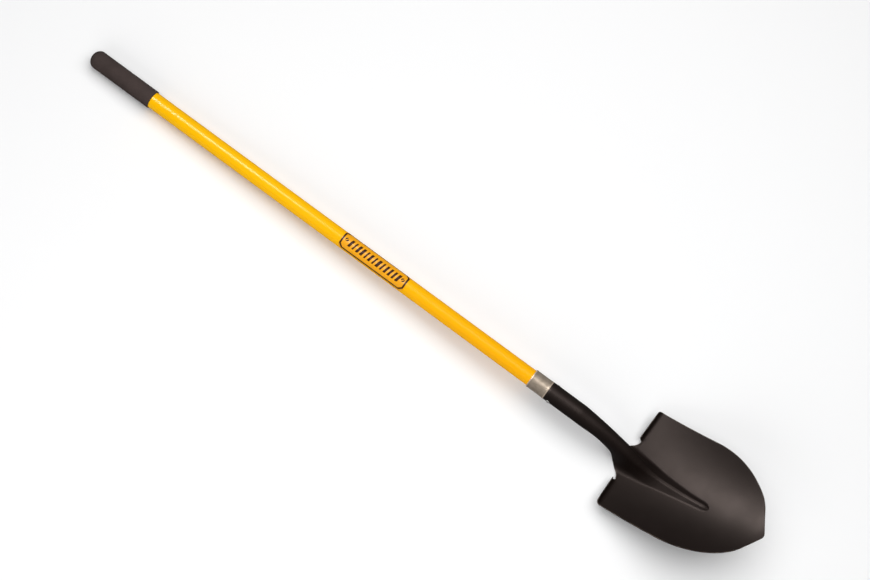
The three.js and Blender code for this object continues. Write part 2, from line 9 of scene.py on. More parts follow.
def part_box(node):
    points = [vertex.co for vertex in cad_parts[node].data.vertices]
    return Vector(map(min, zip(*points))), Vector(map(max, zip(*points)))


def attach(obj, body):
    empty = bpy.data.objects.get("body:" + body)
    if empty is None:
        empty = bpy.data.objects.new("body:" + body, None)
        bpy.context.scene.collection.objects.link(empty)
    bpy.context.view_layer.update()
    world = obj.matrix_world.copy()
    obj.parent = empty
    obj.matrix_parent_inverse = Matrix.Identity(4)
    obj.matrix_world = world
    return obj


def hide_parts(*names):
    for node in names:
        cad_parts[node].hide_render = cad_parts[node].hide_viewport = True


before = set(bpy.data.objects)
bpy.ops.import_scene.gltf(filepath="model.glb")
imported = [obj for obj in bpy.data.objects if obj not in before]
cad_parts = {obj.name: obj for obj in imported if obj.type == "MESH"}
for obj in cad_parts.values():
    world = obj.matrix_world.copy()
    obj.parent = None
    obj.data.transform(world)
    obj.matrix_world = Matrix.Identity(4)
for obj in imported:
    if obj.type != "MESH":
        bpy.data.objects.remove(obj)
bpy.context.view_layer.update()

bl_info = {
    "name": "Round Point Shovel",
    "version": (1, 0, 0),
    "blender": (4, 5, 0),
    "location": "View3D > Sidebar > Shovel",
    "description": "Builds a long-handled round point shovel and its studio",
    "category": "Add Mesh",
}

BODY = "root"


# ---------------------------------------------------------------- frame
# The shovel is drawn along its handle, in millimetres: x from grip to tip and 0 at the foot rests, y to the
# side, z to the front. PLACE lays it down where the CAD nodes lie, in metres.
def node_centre(node):
    low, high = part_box(node)
    return (Vector(low) + Vector(high)) / 2


COLLAR_MIDDLE_X = -203.0
COLLAR_CENTRE = node_centre("collar")
HANDLE_DIRECTION = (COLLAR_CENTRE - node_centre("shaft")).normalized()
TILT = math.atan2(HANDLE_DIRECTION.z, HANDLE_DIRECTION.x)
PLACE = (
    Matrix.Translation(COLLAR_CENTRE - HANDLE_DIRECTION * COLLAR_MIDDLE_X / 1000)
    @ Matrix.Rotation(-TILT, 4, "Y")
    @ Matrix.Scale(0.001, 4)
)
HANDLE_ORIGIN = PLACE.translation


# ---------------------------------------------------------------- settings
def length_prop(name, text, default):
    return bpy.props.FloatProperty(
        name=name, description=text, default=default, unit="LENGTH", precision=5
    )


def angle_prop(name, text, degrees):
    return bpy.props.FloatProperty(
        name=name, description=text, default=math.radians(degrees), subtype="ANGLE"
    )


def colour_prop(name, text, default):
    return bpy.props.FloatVectorProperty(
        name=name, description=text, default=default, size=3, min=0, max=1, subtype="COLOR"
    )


class ShovelSizes(bpy.types.PropertyGroup):
    sheet: length_prop("Sheet", "Steel thickness of blade and socket", 0.0018)
    half_width: length_prop("Half width", "Blade's centre line to its side", 0.108)
    tip_x: length_prop("Blade length", "Foot rests to tip, along the handle", 0.2725)
    heel_depth: length_prop("Heel depth", "Dish bottom below the handle axis at the foot rests", 0.055)
    step_bend: length_prop("Foot rest bend", "Bend radius of the foot rests", 0.008)
    shaft_radius: length_prop("Shaft radius", "Outside radius of the tube", 0.016)
    shaft_wall: length_prop("Shaft wall", "Wall thickness of the tube", 0.004)
    slip: length_prop("Slip", "Clearance between sleeved parts", 0.0003)
    collar_radius: length_prop("Collar radius", "Collar between its beads", 0.01795)
    collar_rim: length_prop("Collar bead", "Collar over its beads", 0.0183)
    rivet_head: length_prop("Rivet head", "Radius of the rivet's factory head", 0.004)
    grip_radius: length_prop("Grip radius", "Outside radius of the foam grip", 0.018)
    label_wrap: angle_prop("Label wrap", "Half of the label's turn", 73)


class ShovelColours(bpy.types.PropertyGroup):
    blade: colour_prop("Blade coat", "Powder coat on blade and socket", (0.0042, 0.0023, 0.0017))
    blade_worn: colour_prop("Blade coat, rubbed", "Powder coat where it is rubbed", (0.0080, 0.0048, 0.0037))
    steel: colour_prop("Collar steel", "Plated steel of the collar", (0.45, 0.37, 0.29))
    rivet: colour_prop("Rivet steel", "Rivet", (0.72, 0.70, 0.68))
    shaft: colour_prop("Shaft", "Yellow resin of the tube", (0.95, 0.50, 0.001))
    # This colour serves the resin's darker streaks and also the painted shade that deepens the shaft toward
    # the collar.
    shaft_deep_and_shade: colour_prop("Shaft, deep", "Darker streaks in the resin", (0.86, 0.375, 0.001))
    grip: colour_prop("Grip", "Foam of the grip", (0.040, 0.0285, 0.026))
    label: colour_prop("Label", "Label's ground", (0.86, 0.365, 0.003))
    ink: colour_prop("Ink", "Label's print", (0.030, 0.010, 0.004))
    wood: colour_prop("Dowel", "Hardwood in the socket", (0.47, 0.28, 0.13))
    plug: colour_prop("Plug", "Plastic plug under the grip", (0.02, 0.02, 0.02))


class StageSettings(bpy.types.PropertyGroup):
    distance: length_prop("Distance", "Camera to the foot rests, along the view", 3.0)
    lens: bpy.props.FloatProperty(name="Lens", description="Focal length in mm", default=68.8)
    roll: angle_prop("Roll", "Turn of the handle in the frame", 36.252)
    lead: angle_prop("Lead", "Lean of the view toward the grip", 5.546)
    side: angle_prop("Side", "Lean of the view to the side", 20.389)
    floor: colour_prop("Floor", "Plain studio floor", (0.86, 0.86, 0.86))


GROUPS = {"shovel_sizes": ShovelSizes, "shovel_colours": ShovelColours, "shovel_stage": StageSettings}


def sizes():
    """The sizes in millimetres."""
    group = bpy.context.scene.shovel_sizes
    names = [name for name in group.bl_rna.properties.keys() if name not in ("rna_type", "name")]
    return {name: getattr(group, name) * (1 if name == "label_wrap" else 1000) for name in names}


def colour(name):
    return (*getattr(bpy.context.scene.shovel_colours, name), 1.0)


# ---------------------------------------------------------------- mesh helpers
def finish_piece(name, verts, faces, material, nodes, attributes=None):
    """Lay a piece drawn along the handle down in the row frame and hand it over."""
    mesh = bpy.data.meshes.new(name)
    mesh.from_pydata([tuple(v) for v in verts], [], faces)
    mesh.transform(PLACE)
    for key, values in (attributes or {}).items():
        layer = mesh.attributes.new(key, "FLOAT", "POINT")
        layer.data.foreach_set("value", np.asarray(values, np.float32))
    mesh.shade_smooth()
    mesh.validate()
    mesh.update()
    mesh.materials.append(material)
    return handed_over(mesh, name, nodes)


def handed_over(mesh, name, nodes):
    """Make a mesh a piece of the shovel: what it rides, what it is made of and which CAD nodes it shows."""
    piece = bpy.data.objects.new(name, mesh)
    bpy.context.scene.collection.objects.link(piece)
    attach(piece, BODY)
    if nodes:
        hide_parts(*nodes)
    return piece


def sharpen(piece, degrees):
    """Keep real corners crisp under smooth shading."""
    piece.data.set_sharp_from_angle(angle=math.radians(degrees))


def turned(profile, segments, closed=True):
    """Revolve (x, r) points about the handle axis."""
    verts = []
    rings = []
    for x, r in profile:
        if r < 1e-6:
            rings.append([len(verts)])
            verts.append((x, 0.0, 0.0))
            continue
        ring = []
        for i in range(segments):
            a = 2 * math.pi * i / segments
            ring.append(len(verts))
            verts.append((x, r * math.sin(a), r * math.cos(a)))
        rings.append(ring)
    faces = []
    pairs = list(zip(rings, rings[1:]))
    if closed:
        pairs.append((rings[-1], rings[0]))
    for a, b in pairs:
        if len(a) == 1 and len(b) == 1:
            continue
        for i in range(segments):
            j = (i + 1) % segments
            if len(a) == 1:
                faces.append((a[0], b[j], b[i]))
            elif len(b) == 1:
                faces.append((a[i], a[j], b[0]))
            else:
                faces.append((a[i], a[j], b[j], b[i]))
    return verts, faces


def outward(verts, faces):
    """Turn the faces of a closed shape so that its volume is positive."""
    v = np.asarray(verts, float)
    volume = 0.0
    for face in faces:
        for i in range(1, len(face) - 1):
            volume += np.dot(v[face[0]], np.cross(v[face[i]], v[face[i + 1]]))
    return faces if volume > 0 else [tuple(reversed(f)) for f in faces]


def rounded(points, radius, steps=4):
    """Round the corners of a closed (x, r) outline."""
    out = []
    n = len(points)
    for i in range(n):
        p, q, s = (Vector(points[(i + k) % n]) for k in (-1, 0, 1))
        a, b = (p - q), (s - q)
        reach = min(radius, a.length / 2.2, b.length / 2.2)
        if q.y < 1e-6 or reach < 1e-4:
            out.append(tuple(q))
            continue
        start, end = q + a.normalized() * reach, q + b.normalized() * reach
        for k in range(steps + 1):
            f = k / steps
            out.append(tuple((1 - f) ** 2 * start + 2 * f * (1 - f) * q + f * f * end))
    return out


# ---------------------------------------------------------------- blade shape
# The dish: how its bottom climbs toward the tip, and how it curls up to the sides.
LIFT_SLOPE = 0.079
LIFT_CURVE = 0.00111
DISH_CURVE = 0.0018
DISH_GAIN = 1.6e-5
DISH_FADE = 1.6e-8
TIP_RISE = 4.2
TIP_RISE_X = 205.0
TIP_SWELL = 27 / 4
# The outline: a straight side, a wide arc, a tighter arc, a straight run and the tip's small arc.
SIDE_ARC_R = 172.0
SIDE_ARC_TURN = math.radians(40)
POINT_ARC_R = 98.0
POINT_TURN = math.radians(60.5)
TIP_R = 12.0
# The frog, the raised ridge down the blade; pairs hold at x = 0 and from FROG_MID_X on.
FROG_X = 174.0
FROG_NOSE = 14.0
FROG_FLAT = 1.5
FROG_TOP_R = (11.0, 5.0)
FROG_FOOT_R = (16.0, 10.0)
FROG_MID_X = 70.0
FROG_ARC_SHARE = 0.9
# (x, half width) of the frog where it meets the dish.
FROG_FOOT = [
    (-80, 37),
    (-20, 35),
    (8, 33),
    (30, 29.5),
    (50, 26),
    (75, 21),
    (100, 17.5),
    (134, 13.5),
    (180, 10),
]
# (x, height) of the sheet's centre line, from the socket to the frog's nose.
SPINE = [
    (-112, 17.2),
    (-62, 9.3),
    (-9, -4.6),
    (24, -19.5),
    (47, -30),
    (70, -33.6),
    (98, -29),
    (130, -20.8),
    (180, -1),
]
# The foot rests, which bend up from the blade's root line and end at a curved free edge.
STEP_X = 2.0
STEP_CURVE = 0.00149
STEP_EDGE = 41.5
STEP_START = 47.0
STEP_CORNER_R = 11.0
ROOT_X = 13.2
ROOT_END = 44.5
# The web between neck and foot rest: the share of the foot rest it reaches, where it fades in x and y,
# and the share of the foot rest that the gusset's rows follow.
WEB_LEVEL = 1 / 6
WEB_FADE = (-12.0, 24.0)
CLIMB = 0.5
# The socket and the neck, which opens from a seamed tube into the blade.
SOCKET_X = -183.7
BEND_X = -112.0
NARROW_X = -62.0
NARROW_R = 15.1
SEAM = 3.0
NECK_SPREAD = 58.0
SPREAD_X = -87.0
OPENING = (-78.0, 10.0)
EXACT_X = -10.0
# How the mesh's columns leave the frog's shape for even ones.
LOOSE_X = 110.0
KNEE_RUN = 40.0
# How far the sheet's rolled edge stands out.
EDGE_BULGE = 0.35


def smoothstep(a, b, x):
    u = min(max((x - a) / (b - a), 0.0), 1.0)
    return u * u * (3 - 2 * u)


def lerp(a, b, f):
    return a + (b - a) * f


def share(n):
    return [i / n for i in range(n + 1)]


def curve_through(points):
    """A smooth curve through (x, value) points."""
    n = len(points)
    slope = []
    for i in range(n):
        a, b = points[max(i - 1, 0)], points[min(i + 1, n - 1)]
        slope.append((b[1] - a[1]) / (b[0] - a[0]))

    def at(x):
        i = 0
        while i < n - 2 and x > points[i + 1][0]:
            i += 1
        (x0, v0), (x1, v1) = points[i], points[i + 1]
        u = min(max((x - x0) / (x1 - x0), 0), 1)
        d = x1 - x0
        return (
            (2 * u**3 - 3 * u * u + 1) * v0
            + (u**3 - 2 * u * u + u) * d * slope[i]
            + (3 * u * u - 2 * u**3) * v1
            + (u**3 - u * u) * d * slope[i + 1]
        )

    return at


class BladeSurface:
    """The middle surface of the pressed sheet: dish, frog, foot rests, neck and socket."""

    def __init__(self, size):
        self.size = size
        self.foot_curve = curve_through(FROG_FOOT)
        self.spine_curve = curve_through(SPINE)
        self.half = size["half_width"]
        self.tip_x = size["tip_x"]
        self.arc_drop = SIDE_ARC_R * (1 - math.cos(SIDE_ARC_TURN))
        point_drop = POINT_ARC_R * (math.cos(SIDE_ARC_TURN) - math.cos(POINT_TURN))
        run_start = self.half - self.arc_drop - point_drop
        self.run_end = TIP_R * math.cos(POINT_TURN)
        self.tip_start = self.tip_x - TIP_R * (1 - math.sin(POINT_TURN))
        self.run_x = self.tip_start - (run_start - self.run_end) / math.tan(POINT_TURN)
        self.point_x = self.run_x - POINT_ARC_R * (math.sin(POINT_TURN) - math.sin(SIDE_ARC_TURN))
        self.side_x = self.point_x - SIDE_ARC_R * math.sin(SIDE_ARC_TURN)
        self.web_x = self.rest_point(ROOT_END, self.rest_length(ROOT_END, WEB_LEVEL))[0]
        self.flare_r = self.section(self.web_x, ROOT_END)[0][-1] - NECK_SPREAD

    def dish_bottom(self, x):
        """Height of the dish on the centre line, with the small swell before the tip."""
        u = max((x - TIP_RISE_X) / (self.tip_x - TIP_RISE_X), 0.0)
        lift = TIP_RISE * TIP_SWELL * u * u * (1 - u)
        return -self.size["heel_depth"] + LIFT_SLOPE * x + LIFT_CURVE * x * x + lift

    def dish(self, x, y):
        return self.dish_bottom(x) + (DISH_CURVE + DISH_GAIN * x - DISH_FADE * x * x) * y * y

    def spine(self, x):
        return SPINE[0][1] if x < BEND_X else self.spine_curve(x)

    def ridge(self, x):
        """Height, foot, flat, top radius, foot radius and flank angle of the frog's section at x."""
        u = smoothstep(0, FROG_MID_X, x)
        nose = min(max((x - FROG_X + FROG_NOSE) / FROG_NOSE, 0), 1)
        height = (self.spine(x) - self.dish_bottom(x)) * (1 - nose * nose) if x < FROG_X else 0.0
        foot = self.foot_curve(x) * math.sqrt(1 - nose * nose)
        if height <= 1e-6:
            return 0.0, foot, 0.0, 0.0, 0.0, 0.0
        flat = min(FROG_FLAT * u * (1 - smoothstep(FROG_MID_X, FROG_X, x) / 2), foot / 2)
        reach = foot - flat
        top, round_ = lerp(*FROG_TOP_R, u), lerp(*FROG_FOOT_R, u)
        room = (reach * reach + height * height) / (2 * height)
        fit = min(1.0, FROG_ARC_SHARE * room / (top + round_))
        top, round_ = top * fit, round_ * fit
        both = top + round_
        turn = math.atan2(height - both, reach) + math.asin(both / math.hypot(reach, height - both))
        return height, foot, flat, top, round_, turn

    def rise(self, ridge, y):
        """Height of the frog above the dish at distances y from the centre line."""
        y = np.abs(np.asarray(y, float))
        height, foot, flat, top, round_, turn = ridge
        if height == 0:
            return np.zeros_like(y)
        over, left = y - flat, foot - y
        hollow = round_ * math.sin(turn)
        slope = round_ * (1 - math.cos(turn)) + (left - hollow) * math.tan(turn)
        crown = height - top + np.sqrt(np.maximum(top * top - np.maximum(over, 0) ** 2, 0))
        foot_arc = round_ - np.sqrt(np.maximum(round_ * round_ - np.maximum(left, 0) ** 2, 0))
        z = np.where(over < top * math.sin(turn), crown, np.where(left < hollow, foot_arc, slope))
        return np.where(left <= 0, 0.0, z)

    def web_rise(self, x, y):
        """How far the sheet beside the neck already turns up into the foot rest."""
        _, middle, start, bend_top, _, _ = self.rest_profile(ROOT_END)
        if x >= start:
            return np.zeros_like(y)
        at = max(x, self.web_x)
        bend_r = self.size["step_bend"]
        bent = bend_top - bend_r * math.sqrt(1 - (1 - (at - middle) / bend_r) ** 2)
        up = bent - self.dish(at, ROOT_END)
        u = np.clip((y - WEB_FADE[1]) / (ROOT_END - WEB_FADE[1]), 0, 1)
        return up * smoothstep(WEB_FADE[0], self.web_x, x) * u * u * (3 - 2 * u)

    def point(self, x, y):
        """Points of the blade's middle surface at x and distances y."""
        y = np.asarray(y, float)
        z = self.dish(x, y) + self.rise(self.ridge(x), y) + self.web_rise(x, y)
        return np.stack([np.full_like(y, x), y, z], -1)

    def half_width(self, x):
        """Distance from the centre line to the outline at x."""

        def arc(r, along):
            return math.sqrt(max(r * r - along * along, 0))

        if x <= self.side_x:
            return self.half
        if x <= self.point_x:
            return self.half - SIDE_ARC_R + arc(SIDE_ARC_R, x - self.side_x)
        if x <= self.run_x:
            along = x - self.point_x + POINT_ARC_R * math.sin(SIDE_ARC_TURN)
            centre = self.half - self.arc_drop - POINT_ARC_R * math.cos(SIDE_ARC_TURN)
            return centre + arc(POINT_ARC_R, along)
        if x <= self.tip_start:
            return self.run_end + (self.tip_start - x) * math.tan(POINT_TURN)
        return arc(TIP_R, x - self.tip_x + TIP_R)

    def wing_start(self, x):
        """Distance from the centre line at which the even outer columns begin."""
        return STEP_START / self.half * self.half_width(x)

    def columns(self, x, arc=14, flank=8, foot_arc=12, middle=12):
        """Distances from the centre line at which a section is cut."""
        _, foot, flat, top, round_, turn = self.ridge(x)
        crown = [flat + top * math.sin(turn * f) for f in share(arc)[1:]]
        hollow = [foot - round_ * math.sin(turn * (1 - f)) for f in share(foot_arc)]
        run = [lerp(crown[-1], hollow[0], f) for f in share(flank)[1:-1]]
        shaped = [0.0, *crown, *run, *hollow]
        loose_foot = max(foot * (1 - smoothstep(FROG_MID_X, FROG_X, x)), self.wing_start(x) / 4)
        loose = smoothstep(LOOSE_X, FROG_X, x)
        n = len(shaped) - 1
        inner = [lerp(y, loose_foot * i / n, loose) for i, y in enumerate(shaped)]
        last = inner[-1]
        half = middle // 2
        halfway = lerp(last, self.wing_start(x), 0.5)
        knee = lerp(ROOT_END, halfway, smoothstep(ROOT_X, ROOT_X + KNEE_RUN, x))
        outer = [lerp(last, knee, f) for f in share(half)[1:]]
        outer += [lerp(knee, self.wing_start(x), f) for f in share(middle - half)[1:]]
        return np.array(inner + outer), len(inner) - 1 + half

    def section(self, x, y_end=STEP_START):
        """Arc length, heading and points of the blade's section at x."""
        y = np.linspace(0, y_end, 1200)
        z = self.point(x, y)[:, 2]
        ds = np.hypot(np.diff(y), np.diff(z))
        s = np.concatenate([[0], np.cumsum(ds)])
        return s, np.arctan2(np.diff(z), np.diff(y)), y, z

    def tube_r(self, x):
        """Radius of the socket's middle surface, narrower at the neck."""
        fitted = self.size["shaft_radius"] + self.size["slip"] + self.size["sheet"] / 2
        return lerp(fitted, NARROW_R, smoothstep(BEND_X, NARROW_X, x))

    def spread(self, x):
        """Length of sheet from the centre line to the free edge of socket or neck."""
        tube = math.pi * self.tube_r(x) - SEAM / 2
        neck = lerp(tube, NECK_SPREAD, smoothstep(SPREAD_X, self.web_x - self.flare_r, x))
        turn = min(max((x - self.web_x + self.flare_r) / self.flare_r, 0), 1)
        return neck + self.flare_r * (1 - math.sqrt(1 - turn * turn))

    def neck_row(self, x, shares):
        """A section of socket or neck: a tube that opens into the blade's section."""
        opened = smoothstep(*OPENING, x)
        whole = self.spread(x)
        fine = np.linspace(0, whole, 1500)
        middle = (fine[1:] + fine[:-1]) / 2
        turn = -(1 - opened) * middle / self.tube_r(x)
        s = heading = None
        if opened > 0:
            s, heading, y_direct, z_direct = self.section(x, STEP_START + 10)
            turn = turn + opened * np.interp(middle, (s[1:] + s[:-1]) / 2, heading)
        step = fine[1] - fine[0]
        y = np.concatenate([[0], np.cumsum(np.cos(turn) * step)])
        z = self.spine(x) + np.concatenate([[0], np.cumsum(np.sin(turn) * step)])
        at = np.asarray(shares) * whole
        row = np.stack([np.full(len(at), x), np.interp(at, fine, y), np.interp(at, fine, z)], -1)
        exact = smoothstep(EXACT_X, self.web_x, x)
        if exact > 0:
            y_at, z_at = np.interp(at, s, y_direct), np.interp(at, s, z_direct)
            row = lerp(row, np.stack([np.full(len(at), x), y_at, z_at], -1), exact)
        return row

    def rest_profile(self, y):
        """Slope, flange middle, bend start, bend top, bend length and flange length of a foot rest at y."""
        turn = math.atan(LIFT_SLOPE + DISH_GAIN * y * y)
        bend_r = self.size["step_bend"]
        middle = STEP_X + self.size["sheet"] / 2
        start = middle + bend_r * (1 + math.sin(turn))
        bend_top = self.dish(start, y) + bend_r * math.cos(turn)
        flange = STEP_CURVE * y * y - STEP_EDGE - bend_top
        return turn, middle, start, bend_top, bend_r * (math.pi / 2 + turn), flange

    def rest_point(self, y, along):
        """A point of the foot rest, along the sheet from the blade's root line toward the free edge."""
        turn, middle, start, bend_top, bend, _ = self.rest_profile(y)
        strip = ROOT_X - start
        if along <= strip:
            return (ROOT_X - along, y, self.dish(ROOT_X - along, y))
        along -= strip
        if along >= bend:
            return (middle, y, bend_top + along - bend)
        a = lerp(math.pi + turn, math.pi / 2, along / bend)
        bend_r = self.size["step_bend"]
        return (middle + bend_r * (1 - math.sin(a)), y, bend_top + bend_r * math.cos(a))

    def rest_length(self, y, level):
        """Length of sheet from the root line to a share of the foot rest's bend and flange."""
        _, _, start, _, bend, flange = self.rest_profile(y)
        return ROOT_X - start + level * (bend + flange)

    def rest_row(self, level, shares):
        """A line of points along a foot rest, cut back by its rounded corner."""
        outer = self.rest_profile(self.half)
        to_edge = (1 - level) * (outer[4] + outer[5])
        cut = max(STEP_CORNER_R - to_edge, 0)
        end = self.half - STEP_CORNER_R + math.sqrt(STEP_CORNER_R**2 - cut**2)
        row = []
        for f in shares:
            y = lerp(STEP_START, end, f)
            row.append(self.rest_point(y, self.rest_length(y, level)))
        return np.array(row)

    def gusset_rows(self, ys, levels):
        """The short web that climbs from the neck's edge to the foot rest's inner end."""
        rows = [[self.rest_point(y, 0.0) for y in ys]]
        for level in levels:
            row = []
            for y in ys:
                u = (y - ys[0]) / (STEP_START - ys[0])
                climb = min(level, WEB_LEVEL) + max(level - WEB_LEVEL, 0) * (0.5 * u + 0.5 * u**3)
                row.append(self.rest_point(y, self.rest_length(y, climb)))
            rows.append(row)
        return np.array(rows)


def blade_patches(surface):
    """Grids of middle-surface points for one half of the sheet."""
    root_y, corner = surface.columns(ROOT_X)
    web_y = root_y[: corner + 1]
    s, _, y_fine, _ = surface.section(surface.web_x)
    web_share = np.interp(web_y, y_fine, s) / np.interp(ROOT_END, y_fine, s)
    even = np.linspace(0, 1, corner + 1)
    flare_x = surface.web_x - surface.flare_r
    neck_x = [
        *[lerp(SOCKET_X, BEND_X, f) for f in share(18)],
        *[lerp(BEND_X, NARROW_X, f) for f in share(22)[1:]],
        *[lerp(NARROW_X, flare_x, f) for f in share(26)[1:]],
        *[flare_x + surface.flare_r * math.sin(f * math.pi / 2) for f in share(26)[1:-1]],
    ]
    neck = []
    for x in neck_x:
        opened = smoothstep(*OPENING, x)
        neck.append(surface.neck_row(x, lerp(even, web_share, opened)))
    rest_levels = share(18)
    webbed = [level for level in rest_levels if level <= WEB_LEVEL + 1e-9]
    climbed = [level for level in rest_levels if level <= CLIMB + 1e-9]
    for level in reversed(webbed):
        x = surface.rest_point(ROOT_END, surface.rest_length(ROOT_END, level))[0]
        neck.append(surface.point(x, web_y))
    neck.append(surface.point(ROOT_X, web_y))
    gusset = surface.gusset_rows(root_y[corner:], climbed)
    nose_x = FROG_X - FROG_NOSE
    # The powers crowd rows and columns toward the root line, the tip and the outline.
    rows = [
        *[lerp(ROOT_X, nose_x, f**1.15) for f in share(74)],
        *[lerp(nose_x, FROG_X, math.sin(f * math.pi / 2)) for f in share(14)[1:]],
        *[lerp(FROG_X, surface.tip_start, 1 - (1 - f) ** 1.25) for f in share(46)[1:]],
        *[lerp(surface.tip_start, surface.tip_x, math.sin(f * math.pi / 2)) for f in share(5)[1:]],
    ]
    wing_share = [1 - (1 - f) ** 1.3 for f in share(26)]
    centre, wing = [], []
    for x in rows:
        centre.append(surface.point(x, surface.columns(x)[0]))
        start, end = surface.wing_start(x), surface.half_width(x)
        wing.append(surface.point(x, [lerp(start, end, f) for f in wing_share]))
    rests = [surface.rest_row(level, wing_share) for level in reversed(rest_levels)]
    return [np.array(neck), gusset[::-1], np.array(centre), np.array(rests + wing)]


def weld_sheet(patches):
    """Both halves as one sheet of shared points and faces."""
    points, faces, seen = [], [], {}

    def put(v):
        key = tuple(round(c * 400) for c in v)
        if key not in seen:
            seen[key] = len(points)
            points.append(v)
        return seen[key]

    for side in (1, -1):
        for grid in patches:
            ids = [[put((v[0], v[1] * side, v[2])) for v in row] for row in grid]
            for i in range(len(ids) - 1):
                for j in range(len(ids[i]) - 1):
                    quad = [ids[i][j], ids[i + 1][j], ids[i + 1][j + 1], ids[i][j + 1]]
                    if side < 0:
                        quad.reverse()
                    face = [v for k, v in enumerate(quad) if v != quad[k - 1]]
                    if len(set(face)) >= 3:
                        faces.append(tuple(face))
    return np.array(points), faces


def thick_sheet(points, faces, thickness, bulge, steps=5):
    """Give a sheet its thickness and a rolled edge.

    Returns points, faces and each point's distance to the edge, in metres.
    """
    normals = np.zeros_like(points)
    for face in faces:
        a, b, c = points[face[0]], points[face[1]], points[face[2]]
        d = points[face[-1]]
        normal = np.cross(c - a, d - b) if len(face) == 4 else np.cross(b - a, c - a)
        for i in face:
            normals[i] += normal
    normals /= np.maximum(np.linalg.norm(normals, axis=1), 1e-12)[:, None]
    edges = {}
    for face in faces:
        for k in range(len(face)):
            i, j = face[k], face[(k + 1) % len(face)]
            if (j, i) in edges:
                del edges[(j, i)]
            else:
                edges[(i, j)] = True
    n = len(points)
    out = np.zeros_like(points)
    for i, j in edges:
        side = np.cross(points[j] - points[i], normals[i])
        out[i] += side
        out[j] += side
    rim = sorted({i for edge in edges for i in edge})
    length = np.linalg.norm(out, axis=1)
    out[rim] /= np.maximum(length[rim], 1e-12)[:, None]
    verts = [*(points + normals * thickness / 2), *(points - normals * thickness / 2)]
    ladder = {}
    for i in rim:
        ladder[i] = [i]
        for k in range(1, steps):
            a = math.pi * k / steps
            ladder[i].append(len(verts))
            verts.append(points[i] + normals[i] * thickness / 2 * math.cos(a) + out[i] * bulge * math.sin(a))
        ladder[i].append(n + i)
    solid = [tuple(f) for f in faces] + [tuple(n + i for i in reversed(f)) for f in faces]
    for i, j in edges:
        for k in range(steps):
            near, far = ladder[i], ladder[j]
            solid.append((far[k], near[k], near[k + 1], far[k + 1]))
    tree = kdtree.KDTree(len(rim))
    for k, i in enumerate(rim):
        tree.insert(points[i], k)
    tree.balance()
    way = np.array([tree.find(p)[2] for p in points])
    full = np.concatenate([way, way, np.zeros(len(verts) - 2 * n)])
    return verts, solid, full / 1000


# ---------------------------------------------------------------- shader node groups
class Tree:
    """Short hand for building a node tree."""

    def __init__(self, tree):
        self.tree = tree

    def node(self, kind, **values):
        made = self.tree.nodes.new(kind)
        for key, value in values.items():
            setattr(made, key, value)
        return made

    def link(self, a, b):
        self.tree.links.new(a, b)

    def set(self, node, values):
        for key, value in values.items():
            socket = node.inputs[key]
            if isinstance(value, bpy.types.NodeSocket):
                self.link(value, socket)
            else:
                socket.default_value = value
        return node

    def math(self, operation, a, b=0.0, c=None, clamp=False):
        made = self.node("ShaderNodeMath", operation=operation, use_clamp=clamp)
        values = {0: a, 1: b}
        if c is not None:
            values[2] = c
        return self.set(made, values).outputs[0]

    def noise(self, vector, scale, detail=3.0, roughness=0.5, distortion=0.0):
        made = self.node("ShaderNodeTexNoise")
        values = {"Vector": vector, "Scale": scale, "Detail": detail, "Roughness": roughness}
        values["Distortion"] = distortion
        return self.set(made, values).outputs["Fac"]

    def ramp(self, value, low, high, to_low=0.0, to_high=1.0):
        made = self.node("ShaderNodeMapRange", interpolation_type="SMOOTHSTEP")
        values = {"Value": value, "From Min": low, "From Max": high, "To Min": to_low, "To Max": to_high}
        return self.set(made, values).outputs["Result"]

    def mix(self, factor, a, b):
        made = self.node("ShaderNodeMix", data_type="RGBA")
        self.set(made, {"Factor": factor})
        for socket, value in ((made.inputs[6], a), (made.inputs[7], b)):
            if isinstance(value, bpy.types.NodeSocket):
                self.link(value, socket)
            else:
                socket.default_value = value
        return made.outputs[2]

    def scaled(self, vector, scale):
        made = self.node("ShaderNodeMapping")
        return self.set(made, {"Vector": vector, "Scale": scale}).outputs[0]


def shader_group(name, inputs, outputs):
    group = bpy.data.node_groups.new(name, "ShaderNodeTree")
    for label, kind, value in inputs:
        socket = group.interface.new_socket(label, in_out="INPUT", socket_type=kind)
        if value is not None:
            socket.default_value = value
    for label, kind in outputs:
        group.interface.new_socket(label, in_out="OUTPUT", socket_type=kind)
    tree = Tree(group)
    return group, tree, tree.node("NodeGroupInput").outputs, tree.node("NodeGroupOutput")


def handle_space_group():
    """Object coordinates turned so that X runs along the handle."""
    group, tree, _, out = shader_group("Handle Space", [], [("Vector", "NodeSocketVector")])
    place = tree.node("ShaderNodeMapping", vector_type="TEXTURE")
    place.inputs["Location"].default_value = HANDLE_ORIGIN
    place.inputs["Rotation"].default_value = (0, -TILT, 0)
    tree.link(tree.node("ShaderNodeTexCoord").outputs["Object"], place.inputs["Vector"])
    tree.link(place.outputs[0], out.inputs["Vector"])
    return group


def mottle_group():
    """Soft patches, from broad clouds down to a fine speckle."""
    inputs = [
        ("Vector", "NodeSocketVector", None),
        ("Cloud Scale", "NodeSocketFloat", 9.0),
        ("Speckle Scale", "NodeSocketFloat", 900.0),
        ("Speckle", "NodeSocketFloat", 0.3),
    ]
    group, tree, given, out = shader_group("Mottle", inputs, [("Value", "NodeSocketFloat")])
    cloud = tree.noise(given["Vector"], given["Cloud Scale"], 4.0, 0.55)
    speckle = tree.noise(given["Vector"], given["Speckle Scale"], 2.0, 0.6)
    shifted = tree.math("MULTIPLY", tree.math("SUBTRACT", speckle, 0.5), given["Speckle"])
    total = tree.math("ADD", tree.ramp(cloud, 0.32, 0.68), shifted, clamp=True)
    tree.link(total, out.inputs["Value"])
    return group


